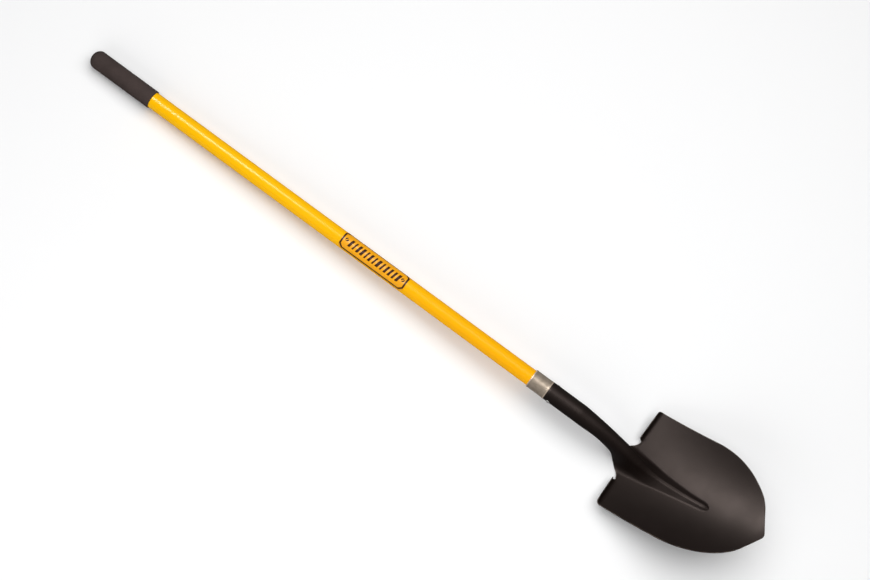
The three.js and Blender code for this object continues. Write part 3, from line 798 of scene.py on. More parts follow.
def streak_group():
    """Fine lines along X, as pulled fibre or brushing leaves."""
    inputs = [
        ("Vector", "NodeSocketVector", None),
        ("Across", "NodeSocketFloat", 900.0),
        ("Along", "NodeSocketFloat", 6.0),
    ]
    outputs = [("Value", "NodeSocketFloat"), ("Broad", "NodeSocketFloat")]
    group, tree, given, out = shader_group("Streaks", inputs, outputs)
    parts = tree.node("ShaderNodeSeparateXYZ")
    tree.link(given["Vector"], parts.inputs[0])
    joined = tree.node("ShaderNodeCombineXYZ")
    tree.link(tree.math("MULTIPLY", parts.outputs[0], given["Along"]), joined.inputs[0])
    tree.link(tree.math("MULTIPLY", parts.outputs[1], given["Across"]), joined.inputs[1])
    tree.link(tree.math("MULTIPLY", parts.outputs[2], given["Across"]), joined.inputs[2])
    fine = tree.noise(joined.outputs[0], 1.0, 3.0, 0.6)
    wide = tree.node("ShaderNodeVectorMath", operation="SCALE")
    tree.set(wide, {0: joined.outputs[0], "Scale": 0.22})
    broad = tree.noise(wide.outputs[0], 1.0, 2.0, 0.5)
    tree.link(fine, out.inputs["Value"])
    tree.link(broad, out.inputs["Broad"])
    return group


def rim_wear_group():
    """Small chips and a rubbed line along the sheet's edge, from its own Rim attribute."""
    inputs = [
        ("Vector", "NodeSocketVector", None),
        ("Reach", "NodeSocketFloat", 0.0025),
        ("Amount", "NodeSocketFloat", 0.5),
    ]
    outputs = [("Chips", "NodeSocketFloat"), ("Rubbed", "NodeSocketFloat")]
    group, tree, given, out = shader_group("Rim Wear", inputs, outputs)
    rim = tree.node("ShaderNodeAttribute", attribute_name="Rim")
    near = tree.math("SUBTRACT", 1.0, tree.math("DIVIDE", rim.outputs["Fac"], given["Reach"]), clamp=True)
    patch = tree.noise(given["Vector"], 26.0, 2.0, 0.5)
    grit = tree.noise(given["Vector"], 620.0, 3.0, 0.65)
    mask = tree.math("MULTIPLY", tree.ramp(patch, 0.60, 0.70), tree.ramp(grit, 0.55, 0.62))
    tree.link(tree.math("MULTIPLY", tree.math("MULTIPLY", mask, near), given["Amount"]), out.inputs["Chips"])
    edge = tree.math("SUBTRACT", 1.0, tree.math("DIVIDE", rim.outputs["Fac"], 0.0009), clamp=True)
    uneven = tree.ramp(tree.noise(given["Vector"], 70.0, 3.0, 0.6), 0.35, 0.7)
    rubbed = tree.math("MULTIPLY", tree.math("MULTIPLY", edge, uneven), given["Amount"])
    tree.link(rubbed, out.inputs["Rubbed"])
    return group


GROUP_MAKERS = {
    "Handle Space": handle_space_group,
    "Mottle": mottle_group,
    "Streaks": streak_group,
    "Rim Wear": rim_wear_group,
}


def group_node(tree, name, values=None):
    group = bpy.data.node_groups.get(name) or GROUP_MAKERS[name]()
    made = tree.node("ShaderNodeGroup")
    made.node_tree = group
    return tree.set(made, values or {})


def new_material(name):
    """An empty material with its Principled shader."""
    old = bpy.data.materials.get(name)
    if old:
        return old, None, None
    material = bpy.data.materials.new(name)
    material.use_nodes = True
    material.node_tree.nodes.clear()
    tree = Tree(material.node_tree)
    shader = tree.node("ShaderNodeBsdfPrincipled")
    out = tree.node("ShaderNodeOutputMaterial")
    tree.link(shader.outputs[0], out.inputs["Surface"])
    return material, tree, shader


def bump(tree, shader, height, distance, strength=1.0):
    made = tree.node("ShaderNodeBump")
    tree.set(made, {"Height": height, "Distance": distance, "Strength": strength})
    tree.link(made.outputs[0], shader.inputs["Normal"])


# ---------------------------------------------------------------- materials
def powder_coat():
    material, tree, shader = new_material("Powder Coat")
    if tree is None:
        return material
    space = group_node(tree, "Handle Space").outputs[0]
    mottle = group_node(tree, "Mottle", {"Vector": space, "Cloud Scale": 14.0, "Speckle": 0.25}).outputs[0]
    wear = group_node(tree, "Rim Wear", {"Vector": space, "Amount": 0.8})
    base = tree.mix(tree.math("MULTIPLY", mottle, 0.28), colour("blade"), colour("blade_worn"))
    base = tree.mix(tree.math("MULTIPLY", wear.outputs["Rubbed"], 0.6), base, (0.16, 0.13, 0.11, 1))
    base = tree.mix(wear.outputs["Chips"], base, (0.30, 0.20, 0.09, 1))
    tree.set(shader, {"Base Color": base, "IOR": 1.5, "Specular Tint": (1.0, 0.82, 0.755, 1)})
    smudge = tree.noise(space, 32.0, 4.0, 0.6, 0.6)
    rough = tree.math("ADD", 0.50, tree.math("MULTIPLY", tree.ramp(smudge, 0.3, 0.7), 0.04))
    tree.link(rough, shader.inputs["Roughness"])
    peel = tree.noise(space, 700.0, 2.0, 0.5)
    wave = tree.noise(space, 60.0, 2.0, 0.5)
    height = tree.math("ADD", peel, tree.math("MULTIPLY", wave, 2.2))
    bump(tree, shader, height, 0.00006, 0.8)
    return material


# Painted highlight on the collar's end beads: it fades in from this far inside each end and is full from this
# far, in metres.
RIM_HIGHLIGHT = (0.0024, 0.0014)


def plated_steel(name, key, metal, rough, across, along, highlight_rims=None):
    """Plated steel with fine lines. With rims, a ring's middle and half length, its ends are polished."""
    material, tree, shader = new_material(name)
    if tree is None:
        return material
    space = group_node(tree, "Handle Space").outputs[0]
    mottle = group_node(tree, "Mottle", {"Vector": space, "Cloud Scale": 120.0, "Speckle": 0.5}).outputs[0]
    lines = tree.noise(tree.scaled(space, (across, along, along)), 1.0, 4.0, 0.65)
    dull = tuple(c * 0.62 for c in colour(key)[:3]) + (1,)
    broad = tree.noise(tree.scaled(space, (across / 6, along / 6, along / 6)), 1.0, 2.0, 0.5)
    tone = tree.math("MULTIPLY", tree.math("MULTIPLY", mottle, tree.ramp(broad, 0.35, 0.65, 0.6, 1.4)), 0.45)
    base = tree.mix(tone, colour(key), dull)
    if highlight_rims:
        split = tree.node("ShaderNodeSeparateXYZ")
        tree.link(space, split.inputs[0])
        off = tree.math("ABSOLUTE", tree.math("SUBTRACT", split.outputs["X"], highlight_rims[0]))
        # Painted highlight: a lighter copy of the steel near both ends, in place of the bright lines of light
        # on the beads.
        painted_highlight = tuple(min(c * 1.9, 1) for c in colour(key)[:3]) + (1,)
        near_end = tree.ramp(off, highlight_rims[1] - RIM_HIGHLIGHT[0], highlight_rims[1] - RIM_HIGHLIGHT[1])
        base = tree.mix(tree.math("MULTIPLY", near_end, 0.8), base, painted_highlight)
    tree.link(base, shader.inputs["Base Color"])
    tree.set(shader, {"Metallic": metal})
    tree.link(tree.math("ADD", rough, tree.math("MULTIPLY", lines, 0.16)), shader.inputs["Roughness"])
    bump(tree, shader, lines, 0.00003, 0.5)
    return material


def shaft_resin():
    material, tree, shader = new_material("Shaft Resin")
    if tree is None:
        return material
    space = group_node(tree, "Handle Space").outputs[0]
    lines = group_node(tree, "Streaks", {"Vector": space, "Across": 520.0, "Along": 1.2})
    split = tree.node("ShaderNodeSeparateXYZ")
    tree.link(space, split.inputs[0])
    # Painted shade: the shaft turns a deeper orange toward the collar end.
    painted_collar_shade = tree.ramp(split.outputs["X"], -0.85, -0.25, 0.0, 0.6)
    tone = tree.math("MULTIPLY", tree.ramp(lines.outputs["Broad"], 0.3, 0.7), 0.4)
    tone = tree.math("ADD", tone, painted_collar_shade, clamp=True)
    tree.link(tree.mix(tone, colour("shaft"), colour("shaft_deep_and_shade")), shader.inputs["Base Color"])
    tree.set(shader, {"IOR": 1.45, "Specular IOR Level": 0.18})
    gloss = tree.math("ADD", 0.17, tree.math("MULTIPLY", lines.outputs["Value"], 0.10))
    tree.link(gloss, shader.inputs["Roughness"])
    bump(tree, shader, lines.outputs["Value"], 0.00005, 0.5)
    return material


def grip_foam():
    material, tree, shader = new_material("Grip Foam")
    if tree is None:
        return material
    space = group_node(tree, "Handle Space").outputs[0]
    mottle = group_node(tree, "Mottle", {"Vector": space, "Cloud Scale": 24.0, "Speckle": 0.7}).outputs[0]
    light = tuple(min(c * 1.45, 1) for c in colour("grip")[:3]) + (1,)
    base = tree.mix(tree.math("MULTIPLY", mottle, 0.6), colour("grip"), light)
    tree.link(base, shader.inputs["Base Color"])
    tree.set(shader, {"Roughness": 0.9, "Specular IOR Level": 0.12})
    pores = tree.node("ShaderNodeTexVoronoi", feature="F1")
    tree.set(pores, {"Vector": space, "Scale": 850.0})
    pits = tree.ramp(pores.outputs["Distance"], 0.05, 0.45)
    soft = tree.noise(space, 180.0, 3.0, 0.6)
    bump(tree, shader, tree.math("ADD", pits, tree.math("MULTIPLY", soft, 1.2)), 0.00016, 0.7)
    return material


def label_film():
    """Amber film with a printed border; U and V are its length and turn, in metres from its middle."""
    material, tree, shader = new_material("Label Film")
    if tree is None:
        return material
    uv = tree.node("ShaderNodeUVMap", uv_map="Film")
    parts = tree.node("ShaderNodeSeparateXYZ")
    tree.link(uv.outputs[0], parts.inputs[0])
    half_long, half_wide = film_half_sizes()
    inset = 0.0006
    line = 0.0034
    chamfer = 0.008
    soft = 0.00008
    from_end = tree.math("SUBTRACT", half_long - inset, tree.math("ABSOLUTE", parts.outputs[0]))
    from_side = tree.math("SUBTRACT", half_wide - inset, tree.math("ABSOLUTE", parts.outputs[1]))
    corner = tree.math("SUBTRACT", tree.math("ADD", from_end, from_side), chamfer)
    corner = tree.math("MULTIPLY", corner, 0.7071)
    inside = tree.math("MINIMUM", tree.math("MINIMUM", from_end, from_side), corner)
    past = tree.ramp(inside, -soft, soft)
    before = tree.ramp(inside, line - soft, line + soft, 1.0, 0.0)
    border = tree.math("MULTIPLY", past, before)
    space = group_node(tree, "Handle Space").outputs[0]
    mottle = group_node(tree, "Mottle", {"Vector": space, "Cloud Scale": 40.0, "Speckle": 0.4}).outputs[0]
    deep = tuple(c * 0.86 for c in colour("label")[:3]) + (1,)
    ground = tree.mix(tree.math("MULTIPLY", mottle, 0.5), colour("label"), deep)
    tree.link(tree.mix(border, ground, colour("ink")), shader.inputs["Base Color"])
    tree.set(shader, {"IOR": 1.45})
    tree.link(tree.math("ADD", 0.27, tree.math("MULTIPLY", mottle, 0.08)), shader.inputs["Roughness"])
    bump(tree, shader, tree.noise(space, 260.0, 2.0), 0.00003, 0.5)
    return material


def printed_ink(key):
    material, tree, shader = new_material(f"Printed {key.title()}")
    if tree is None:
        return material
    space = group_node(tree, "Handle Space").outputs[0]
    mottle = group_node(tree, "Mottle", {"Vector": space, "Cloud Scale": 300.0, "Speckle": 0.6}).outputs[0]
    faded = tuple(c * 1.5 + 0.002 for c in colour(key)[:3]) + (1,)
    tree.link(tree.mix(mottle, colour(key), faded), shader.inputs["Base Color"])
    tree.link(tree.math("ADD", 0.35, tree.math("MULTIPLY", mottle, 0.1)), shader.inputs["Roughness"])
    shader.inputs["Specular IOR Level"].default_value = 0.15
    return material


def hardwood():
    material, tree, shader = new_material("Hardwood Dowel")
    if tree is None:
        return material
    space = group_node(tree, "Handle Space").outputs[0]
    lines = group_node(tree, "Streaks", {"Vector": space, "Across": 420.0, "Along": 9.0})
    dark = tuple(c * 0.5 for c in colour("wood")[:3]) + (1,)
    tree.link(tree.mix(lines.outputs["Value"], colour("wood"), dark), shader.inputs["Base Color"])
    tree.set(shader, {"Roughness": 0.7})
    bump(tree, shader, lines.outputs["Value"], 0.0002, 0.6)
    return material


def moulded_plastic():
    material, tree, shader = new_material("Moulded Plastic")
    if tree is None:
        return material
    space = group_node(tree, "Handle Space").outputs[0]
    mottle = group_node(tree, "Mottle", {"Vector": space, "Cloud Scale": 60.0, "Speckle": 0.5}).outputs[0]
    tree.link(tree.mix(mottle, colour("plug"), (0.035, 0.035, 0.035, 1)), shader.inputs["Base Color"])
    tree.set(shader, {"Roughness": 0.55})
    bump(tree, shader, tree.noise(space, 500.0, 2.0), 0.0001, 0.5)
    return material


def studio_floor():
    material, tree, shader = new_material("Studio Floor")
    if tree is None:
        return material
    shader.inputs["Base Color"].default_value = (*bpy.context.scene.shovel_stage.floor, 1)
    shader.inputs["Roughness"].default_value = 0.9
    shader.inputs["Specular IOR Level"].default_value = 0.1
    return material


# ---------------------------------------------------------------- geometry nodes
def geometry_tree(name, inputs):
    tree = bpy.data.node_groups.new(name, "GeometryNodeTree")
    for label, kind, value in inputs:
        socket = tree.interface.new_socket(label, in_out="INPUT", socket_type=kind)
        if value is not None:
            socket.default_value = value
    tree.interface.new_socket("Geometry", in_out="OUTPUT", socket_type="NodeSocketGeometry")
    short = Tree(tree)
    return tree, short, short.node("NodeGroupInput").outputs, short.node("NodeGroupOutput")


def from_geometry_nodes(name, tree, values):
    """Evaluate a tree and return its plain mesh."""
    holder = bpy.data.objects.new(name, bpy.data.meshes.new(name))
    bpy.context.scene.collection.objects.link(holder)
    modifier = holder.modifiers.new("Shape", "NODES")
    modifier.node_group = tree
    for item in tree.interface.items_tree:
        if item.in_out == "INPUT" and item.name in values:
            modifier[item.identifier] = values[item.name]
    bpy.context.view_layer.update()
    seen = holder.evaluated_get(bpy.context.evaluated_depsgraph_get())
    mesh = bpy.data.meshes.new_from_object(seen)
    bpy.data.objects.remove(holder)
    mesh.name = name
    return mesh


def sleeve_tree():
    """A tube wall swept once round the handle's axis."""
    inputs = [
        ("Inner Radius", "NodeSocketFloat", 12.0),
        ("Outer Radius", "NodeSocketFloat", 16.0),
        ("Start", "NodeSocketFloat", 0.0),
        ("End", "NodeSocketFloat", 100.0),
        ("Edge Round", "NodeSocketFloat", 0.5),
        ("Segments", "NodeSocketInt", 144),
        ("Material", "NodeSocketMaterial", None),
    ]
    tree, short, given, out = geometry_tree("Sleeve", inputs)
    middle = short.math("MULTIPLY", short.math("ADD", given["Inner Radius"], given["Outer Radius"]), 0.5)
    wall = short.math("SUBTRACT", given["Outer Radius"], given["Inner Radius"])
    run = short.math("SUBTRACT", given["End"], given["Start"])
    path = short.node("GeometryNodeCurvePrimitiveCircle")
    short.link(given["Segments"], path.inputs["Resolution"])
    short.link(middle, path.inputs["Radius"])
    wall_shape = short.node("GeometryNodeCurvePrimitiveQuadrilateral")
    short.link(wall, wall_shape.inputs["Width"])
    short.link(run, wall_shape.inputs["Height"])
    soft = short.node("GeometryNodeFilletCurve")
    soft.mode = "POLY"
    short.link(wall_shape.outputs[0], soft.inputs["Curve"])
    soft.inputs["Count"].default_value = 4
    short.link(given["Edge Round"], soft.inputs["Radius"])
    sweep = short.node("GeometryNodeCurveToMesh")
    short.link(path.outputs[0], sweep.inputs["Curve"])
    short.link(soft.outputs[0], sweep.inputs["Profile Curve"])
    turn = short.node("GeometryNodeTransform")
    short.link(sweep.outputs[0], turn.inputs["Geometry"])
    turn.inputs["Rotation"].default_value = (0, math.pi / 2, 0)
    centre = short.math("MULTIPLY", short.math("ADD", given["Start"], given["End"]), 0.5)
    where = short.node("ShaderNodeCombineXYZ")
    short.link(centre, where.inputs[0])
    short.link(where.outputs[0], turn.inputs["Translation"])
    whole = short.node("GeometryNodeRealizeInstances")
    short.link(turn.outputs[0], whole.inputs[0])
    paint = short.node("GeometryNodeSetMaterial")
    short.link(whole.outputs[0], paint.inputs["Geometry"])
    short.link(given["Material"], paint.inputs["Material"])
    short.link(paint.outputs[0], out.inputs["Geometry"])
    return tree


def print_row_tree():
    """A row of slanted bars set along X and wrapped round the tube."""
    inputs = [
        ("Count", "NodeSocketInt", 9),
        ("Start", "NodeSocketFloat", 0.0),
        ("End", "NodeSocketFloat", 100.0),
        ("Bar Width", "NodeSocketFloat", 6.0),
        ("Bar Height", "NodeSocketFloat", 14.0),
        ("Slant", "NodeSocketFloat", 0.3),
        ("Round", "NodeSocketFloat", 0.0),
        ("Turn", "NodeSocketFloat", 0.0),
        ("Radius", "NodeSocketFloat", 16.3),
        ("Vary", "NodeSocketFloat", 0.35),
        ("Seed", "NodeSocketInt", 4),
        ("Material", "NodeSocketMaterial", None),
    ]
    tree, short, given, out = geometry_tree("Printed Row", inputs)
    spots = short.node("GeometryNodeMeshLine", mode="END_POINTS")
    short.link(given["Count"], spots.inputs["Count"])
    first, last = short.node("ShaderNodeCombineXYZ"), short.node("ShaderNodeCombineXYZ")
    short.link(given["Start"], first.inputs[0])
    short.link(given["End"], last.inputs[0])
    short.link(first.outputs[0], spots.inputs["Start Location"])
    short.link(last.outputs[0], spots.inputs["Offset"])
    bar = short.node("GeometryNodeMeshGrid")
    bar.inputs["Vertices X"].default_value = 9
    bar.inputs["Vertices Y"].default_value = 15
    short.link(given["Bar Width"], bar.inputs["Size X"])
    short.link(given["Bar Height"], bar.inputs["Size Y"])
    dots = short.node("GeometryNodeInstanceOnPoints")
    short.link(spots.outputs[0], dots.inputs["Points"])
    corner = short.node("ShaderNodeSeparateXYZ")
    short.link(short.node("GeometryNodeInputPosition").outputs[0], corner.inputs[0])
    across, along = corner.outputs[0], corner.outputs[1]
    pulled = short.node("ShaderNodeCombineXYZ")
    for k, (own, other, span) in enumerate(((across, along, "Bar Height"), (along, across, "Bar Width"))):
        part = short.math("DIVIDE", other, given[span])
        square = short.math("MULTIPLY", short.math("MULTIPLY", part, part), 2.0)
        pull = short.math("SUBTRACT", short.math("SQRT", short.math("SUBTRACT", 1.0, square)), 1.0)
        drawn = short.math("MULTIPLY", short.math("MULTIPLY", own, pull), given["Round"])
        short.link(drawn, pulled.inputs[k])
    shape = short.node("GeometryNodeSetPosition")
    short.link(bar.outputs[0], shape.inputs["Geometry"])
    short.link(pulled.outputs[0], shape.inputs["Offset"])
    short.link(shape.outputs[0], dots.inputs["Instance"])
    chance = short.node("FunctionNodeRandomValue", data_type="FLOAT_VECTOR")
    short.link(given["Seed"], chance.inputs["Seed"])
    low, high = short.node("ShaderNodeCombineXYZ"), short.node("ShaderNodeCombineXYZ")
    for k in range(3):
        low.inputs[k].default_value = 1.0
        high.inputs[k].default_value = 1.0
    short.link(short.math("SUBTRACT", 1.0, given["Vary"]), low.inputs[0])
    short.link(short.math("ADD", 1.0, given["Vary"]), high.inputs[0])
    short.link(low.outputs[0], chance.inputs[0])
    short.link(high.outputs[0], chance.inputs[1])
    short.link(chance.outputs[0], dots.inputs["Scale"])
    whole = short.node("GeometryNodeRealizeInstances")
    short.link(dots.outputs[0], whole.inputs[0])
    spot = short.node("GeometryNodeInputPosition")
    parts = short.node("ShaderNodeSeparateXYZ")
    short.link(spot.outputs[0], parts.inputs[0])
    lean = short.math("MULTIPLY_ADD", parts.outputs[1], given["Slant"], parts.outputs[0])
    angle = short.math("ADD", short.math("DIVIDE", parts.outputs[1], given["Radius"]), given["Turn"])
    wrapped = short.node("ShaderNodeCombineXYZ")
    short.link(lean, wrapped.inputs[0])
    short.link(short.math("MULTIPLY", short.math("SINE", angle), given["Radius"]), wrapped.inputs[1])
    short.link(short.math("MULTIPLY", short.math("COSINE", angle), given["Radius"]), wrapped.inputs[2])
    wrap = short.node("GeometryNodeSetPosition")
    short.link(whole.outputs[0], wrap.inputs["Geometry"])
    short.link(wrapped.outputs[0], wrap.inputs["Position"])
    paint = short.node("GeometryNodeSetMaterial")
    short.link(wrap.outputs[0], paint.inputs["Geometry"])
    short.link(given["Material"], paint.inputs["Material"])
    short.link(paint.outputs[0], out.inputs["Geometry"])
    return tree


# ---------------------------------------------------------------- handle and its fittings
# Lengths in millimetres; pairs named _X are start and end along the handle.
SHAFT_X = (-1226.0, -114.0)
SHAFT_EDGE = 0.6
GRIP_X = (-1240.0, -1096.0)
GAP = 0.3
GRIP_DOME = 0.8
GRIP_SOFT = 1.0
GRIP_WAVE = 0.05
COLLAR_X = (-222.0, -184.0)
COLLAR_WAIST = 0.06
BEAD_LIP = 0.7
BEAD_EDGE = 0.1
BEAD_WIDTH = 2.4
BEAD_FOOT = (2.9, 3.4)
BEAD_FILLET = 0.12
BEAD_FULLNESS = 0.6
RIVET_X = -173.0
RIVET_R = 2.5
RIVET_EDGE = 0.3
RIVET_HEAD_RISE = 1.5
RIVET_TAIL_R = 3.4
RIVET_TAIL_RISE = 1.1
DOWEL_INSET = 2.0
DOWEL_LENGTH = 120.0
DOWEL_ROUND = 2.0
PLUG_INSET = 1.0
PLUG_LENGTH = 24.0
PLUG_EDGE = 0.6
PLUG_GROOVES = 5
GROOVE_DEPTH = 0.7
GROOVE_START = 3.0
GROOVE_STEP = 4.0
GROOVE_WIDTH = 3.0
GROOVE_SLOPE = 0.4
LABEL_X = (-653.0, -506.0)
LABEL_TURN = math.radians(-7)
LABEL_CORNER = 5.0
FILM_LIFT = 0.1
FILM = 0.15
PRINT = 0.02


def film_half_sizes():
    """Half the label's length and half its height round the tube, in metres."""
    size = sizes()
    return (LABEL_X[1] - LABEL_X[0]) / 2000, (size["shaft_radius"] + 0.2) * size["label_wrap"] / 1000


def placed(mesh, name, nodes):
    """Lay a mesh that already has its material down in the row frame and hand it over."""
    mesh.transform(PLACE)
    mesh.shade_smooth()
    mesh.update()
    return handed_over(mesh, name, nodes)


def make_blade():
    size = sizes()
    points, faces = weld_sheet(blade_patches(BladeSurface(size)))
    verts, solid, way = thick_sheet(points, faces, size["sheet"], EDGE_BULGE)
    faces = outward(verts, solid)
    attributes = {"Rim": way}
    piece = finish_piece("Blade", verts, faces, powder_coat(), ["blade"], attributes)
    sharpen(piece, 50)


def make_collar():
    size = sizes()
    x0, x1 = COLLAR_X
    body, bead = size["collar_radius"], size["collar_rim"]
    inner = size["shaft_radius"] + size["slip"]
    lip = bead - BEAD_LIP

    def bead_r(f):
        return lip + BEAD_LIP * math.sin(math.pi * min(f, 0.5)) ** BEAD_FULLNESS

    starts = [(BEAD_EDGE + BEAD_WIDTH * f, bead_r(f)) for f in share(10)]
    starts += [(BEAD_FOOT[0], body + BEAD_FILLET), (BEAD_FOOT[1], body)]
    profile = [(x1, inner), (x0, inner), (x0, lip)]
    profile += [(x0 + along, r) for along, r in starts]
    for f in share(8)[1:-1]:
        waist = COLLAR_WAIST * math.sin(math.pi * f)
        profile.append((lerp(x0 + BEAD_FOOT[1], x1 - BEAD_FOOT[1], f), body - waist))
    profile += [(x1 - along, r) for along, r in reversed(starts)]
    profile.append((x1, lip))
    verts, faces = turned(profile, segments=192)
    # The collar's middle and half length, where the painted highlight on its end beads goes.
    highlight_rims = ((x0 + x1) / 2000, (x1 - x0) / 2000)
    steel = plated_steel("Plated Steel", "steel", metal=0.6, rough=0.35, across=30.0, along=1500.0, highlight_rims=highlight_rims)
    piece = finish_piece("Collar", verts, outward(verts, faces), steel, ["collar"])
    sharpen(piece, 40)


def make_rivet():
    size = sizes()
    seat = size["shaft_radius"] + size["slip"] + size["sheet"] + GAP
    head, tail = size["rivet_head"], RIVET_TAIL_R
    edge = seat + RIVET_EDGE
    profile = [(-(edge + RIVET_HEAD_RISE), 0.0)]
    for f in share(12)[1:]:
        a = f * math.pi / 2
        profile.append((-(edge + RIVET_HEAD_RISE * math.cos(a)), head * math.sin(a)))
    profile += [(-seat, head), (-seat, RIVET_R), (seat, RIVET_R), (seat, tail)]
    for f in share(10)[:-1]:
        a = f * math.pi / 2
        profile.append((edge + RIVET_TAIL_RISE * math.sin(a), tail * math.cos(a)))
    profile.append((edge + RIVET_TAIL_RISE, 0.0))
    verts, faces = turned(profile, segments=48, closed=False)
    verts = np.array(verts)
    tail_part = verts[:, 0] > (seat + edge) / 2
    angle = np.arctan2(verts[:, 1], verts[:, 2])
    # The hammered tail is not quite round.
    uneven = 1 + 0.035 * np.sin(3 * angle + 0.6) + 0.02 * np.sin(5 * angle)
    verts[tail_part, 1] *= uneven[tail_part]
    verts[tail_part, 2] *= uneven[tail_part]
    across = np.stack([RIVET_X + verts[:, 1], verts[:, 0], verts[:, 2]], -1)
    steel = plated_steel("Rivet Steel", "rivet", metal=0.8, rough=0.26, across=700.0, along=700.0)
    piece = finish_piece("Rivet", across, outward(across, faces), steel, ["rivet"])
    sharpen(piece, 40)


def make_shaft():
    size = sizes()
    tree = sleeve_tree()
    values = {
        "Inner Radius": size["shaft_radius"] - size["shaft_wall"],
        "Outer Radius": size["shaft_radius"],
        "Start": SHAFT_X[0],
        "End": SHAFT_X[1],
        "Edge Round": SHAFT_EDGE,
        "Segments": 160,
        "Material": shaft_resin(),
    }
    mesh = from_geometry_nodes("Shaft", tree, values)
    piece = placed(mesh, "Shaft", ["shaft"])
    sharpen(piece, 40)


def make_plugs():
    size = sizes()
    bore = size["shaft_radius"] - size["shaft_wall"] - size["slip"]
    end = SHAFT_X[1] - DOWEL_INSET
    foot = end - DOWEL_LENGTH
    outline = rounded([(end, 0), (end, bore), (foot, bore), (foot, 0)], DOWEL_ROUND)
    verts, faces = turned(outline, segments=96)
    faces = outward(verts, faces)
    dowel = finish_piece("Socket_Dowel", verts, faces, hardwood(), ["socket_plug"])
    sharpen(dowel, 50)

    start = SHAFT_X[0] + PLUG_INSET
    outline = [(start, 0), (start, bore - PLUG_EDGE), (start + PLUG_EDGE, bore)]
    deep = bore - GROOVE_DEPTH
    for k in range(PLUG_GROOVES):
        at = start + GROOVE_START + GROOVE_STEP * k
        after = at + GROOVE_WIDTH
        outline += [(at, bore), (at + GROOVE_SLOPE, deep), (after - GROOVE_SLOPE, deep), (after, bore)]
    outline += [(start + PLUG_LENGTH, bore), (start + PLUG_LENGTH, 0)]
    verts, faces = turned(outline, segments=96)
    faces = outward(verts, faces)
    plug = finish_piece("Top_Plug", verts, faces, moulded_plastic(), ["top_plug"])
    sharpen(plug, 40)


def make_grip():
    size = sizes()
    x0, x1 = GRIP_X
    r = size["grip_radius"]
    inner = size["shaft_radius"] + size["slip"]
    inside = SHAFT_X[0] - GAP
    dome = r * GRIP_DOME
    outline = [(x0, 0.0)]
    for f in share(28)[1:]:
        a = f * math.pi / 2
        outline.append((x0 + dome * (1 - math.cos(a)), r * math.sin(a)))
    for f in share(60)[1:]:
        x = lerp(x0 + dome, x1 - GRIP_SOFT, f)
        outline.append((x, r - GRIP_WAVE * math.sin(9 * f) ** 2))
    for f in share(6)[1:]:
        a = f * math.pi / 2
        outline.append((x1 - GRIP_SOFT * (1 - math.sin(a)), r - GRIP_SOFT * (1 - math.cos(a))))
    outline += [(x1, inner + GAP), (x1 - GAP, inner), (inside, inner), (inside, 0.0)]
    verts, faces = turned(outline, segments=160)
    piece = finish_piece("Grip", verts, outward(verts, faces), grip_foam(), ["grip"])
    sharpen(piece, 45)


def make_label():
    size = sizes()
    film_r = size["shaft_radius"] + FILM_LIFT
    wrap = size["label_wrap"]
    x0, x1 = LABEL_X
    nx, na = 60, 64
    corner = LABEL_CORNER
    verts, uvs = [], []
    for r in (film_r + FILM, film_r):
        for i in range(nx + 1):
            x = lerp(x0, x1, i / nx)
            from_end = min(x - x0, x1 - x)
            cut = max(corner - from_end, 0)
            reach = wrap * r - (corner - math.sqrt(max(corner * corner - cut * cut, 0)))
            for j in range(na + 1):
                v = (2 * j / na - 1) * reach
                a = LABEL_TURN + v / r
                verts.append((x, r * math.sin(a), r * math.cos(a)))
                uvs.append(((x - (x0 + x1) / 2) / 1000, v / 1000))
    faces = []
    n = (nx + 1) * (na + 1)

    def at(i, j, layer=0):
        return layer * n + i * (na + 1) + j

    for i in range(nx):
        for j in range(na):
            faces.append((at(i, j), at(i + 1, j), at(i + 1, j + 1), at(i, j + 1)))
            faces.append((at(i, j + 1, 1), at(i + 1, j + 1, 1), at(i + 1, j, 1), at(i, j, 1)))
    for i in range(nx):
        faces.append((at(i + 1, 0), at(i, 0), at(i, 0, 1), at(i + 1, 0, 1)))
        faces.append((at(i, na), at(i + 1, na), at(i + 1, na, 1), at(i, na, 1)))
    for j in range(na):
        faces.append((at(0, j), at(0, j + 1), at(0, j + 1, 1), at(0, j, 1)))
        faces.append((at(nx, j + 1), at(nx, j), at(nx, j, 1), at(nx, j + 1, 1)))
    film = finish_piece("Label", verts, outward(verts, faces), label_film(), ["label"])
    layer = film.data.uv_layers.new(name="Film")
    for loop in film.data.loops:
        layer.data[loop.index].uv = uvs[loop.vertex_index]
    sharpen(film, 50)


PRINT_ROWS = {
    # name: count, start, end, width, height, turn, slant, round, vary, seed, lift, material
    "Label_Bars": (13, -632.0, -524.5, 4.6, 15.5, -2.6, 0.25, 0, 0.3, 4, 0.04, "ink"),
    "Label_Rounds": (2, -642.6, -515.5, 7.2, 7.2, 4.0, 0.0, 1, 0.0, 1, 0.04, "ink"),
    "Label_Slashes": (2, -642.6, -515.5, 1.7, 6.0, 4.0, 0.7, 0, 0.0, 1, 0.06, "label"),
}


def make_print():
    """Generic marks on the label: slanted bars between two round marks."""
    size = sizes()
    tree = print_row_tree()
    film = size["shaft_radius"] + FILM_LIFT + FILM
    for name, row in PRINT_ROWS.items():
        count, x0, x1, width, height, turn, slant, round_, vary, seed, lift, key = row
        values = {
            "Count": count,
            "Start": x0,
            "End": x1,
            "Bar Width": width,
            "Bar Height": height,
            "Slant": slant,
            "Round": round_,
            "Turn": LABEL_TURN + math.radians(turn),
            "Radius": film + lift,
            "Vary": vary,
            "Seed": seed,
            "Material": printed_ink(key),
        }
        mesh = from_geometry_nodes(name, tree, values)
        skin = bmesh.new()
        skin.from_mesh(mesh)
        bmesh.ops.recalc_face_normals(skin, faces=skin.faces[:])
        bmesh.ops.solidify(skin, geom=skin.faces[:], thickness=PRINT)
        bmesh.ops.recalc_face_normals(skin, faces=skin.faces[:])
        skin.to_mesh(mesh)
        skin.free()
        placed(mesh, name, [])


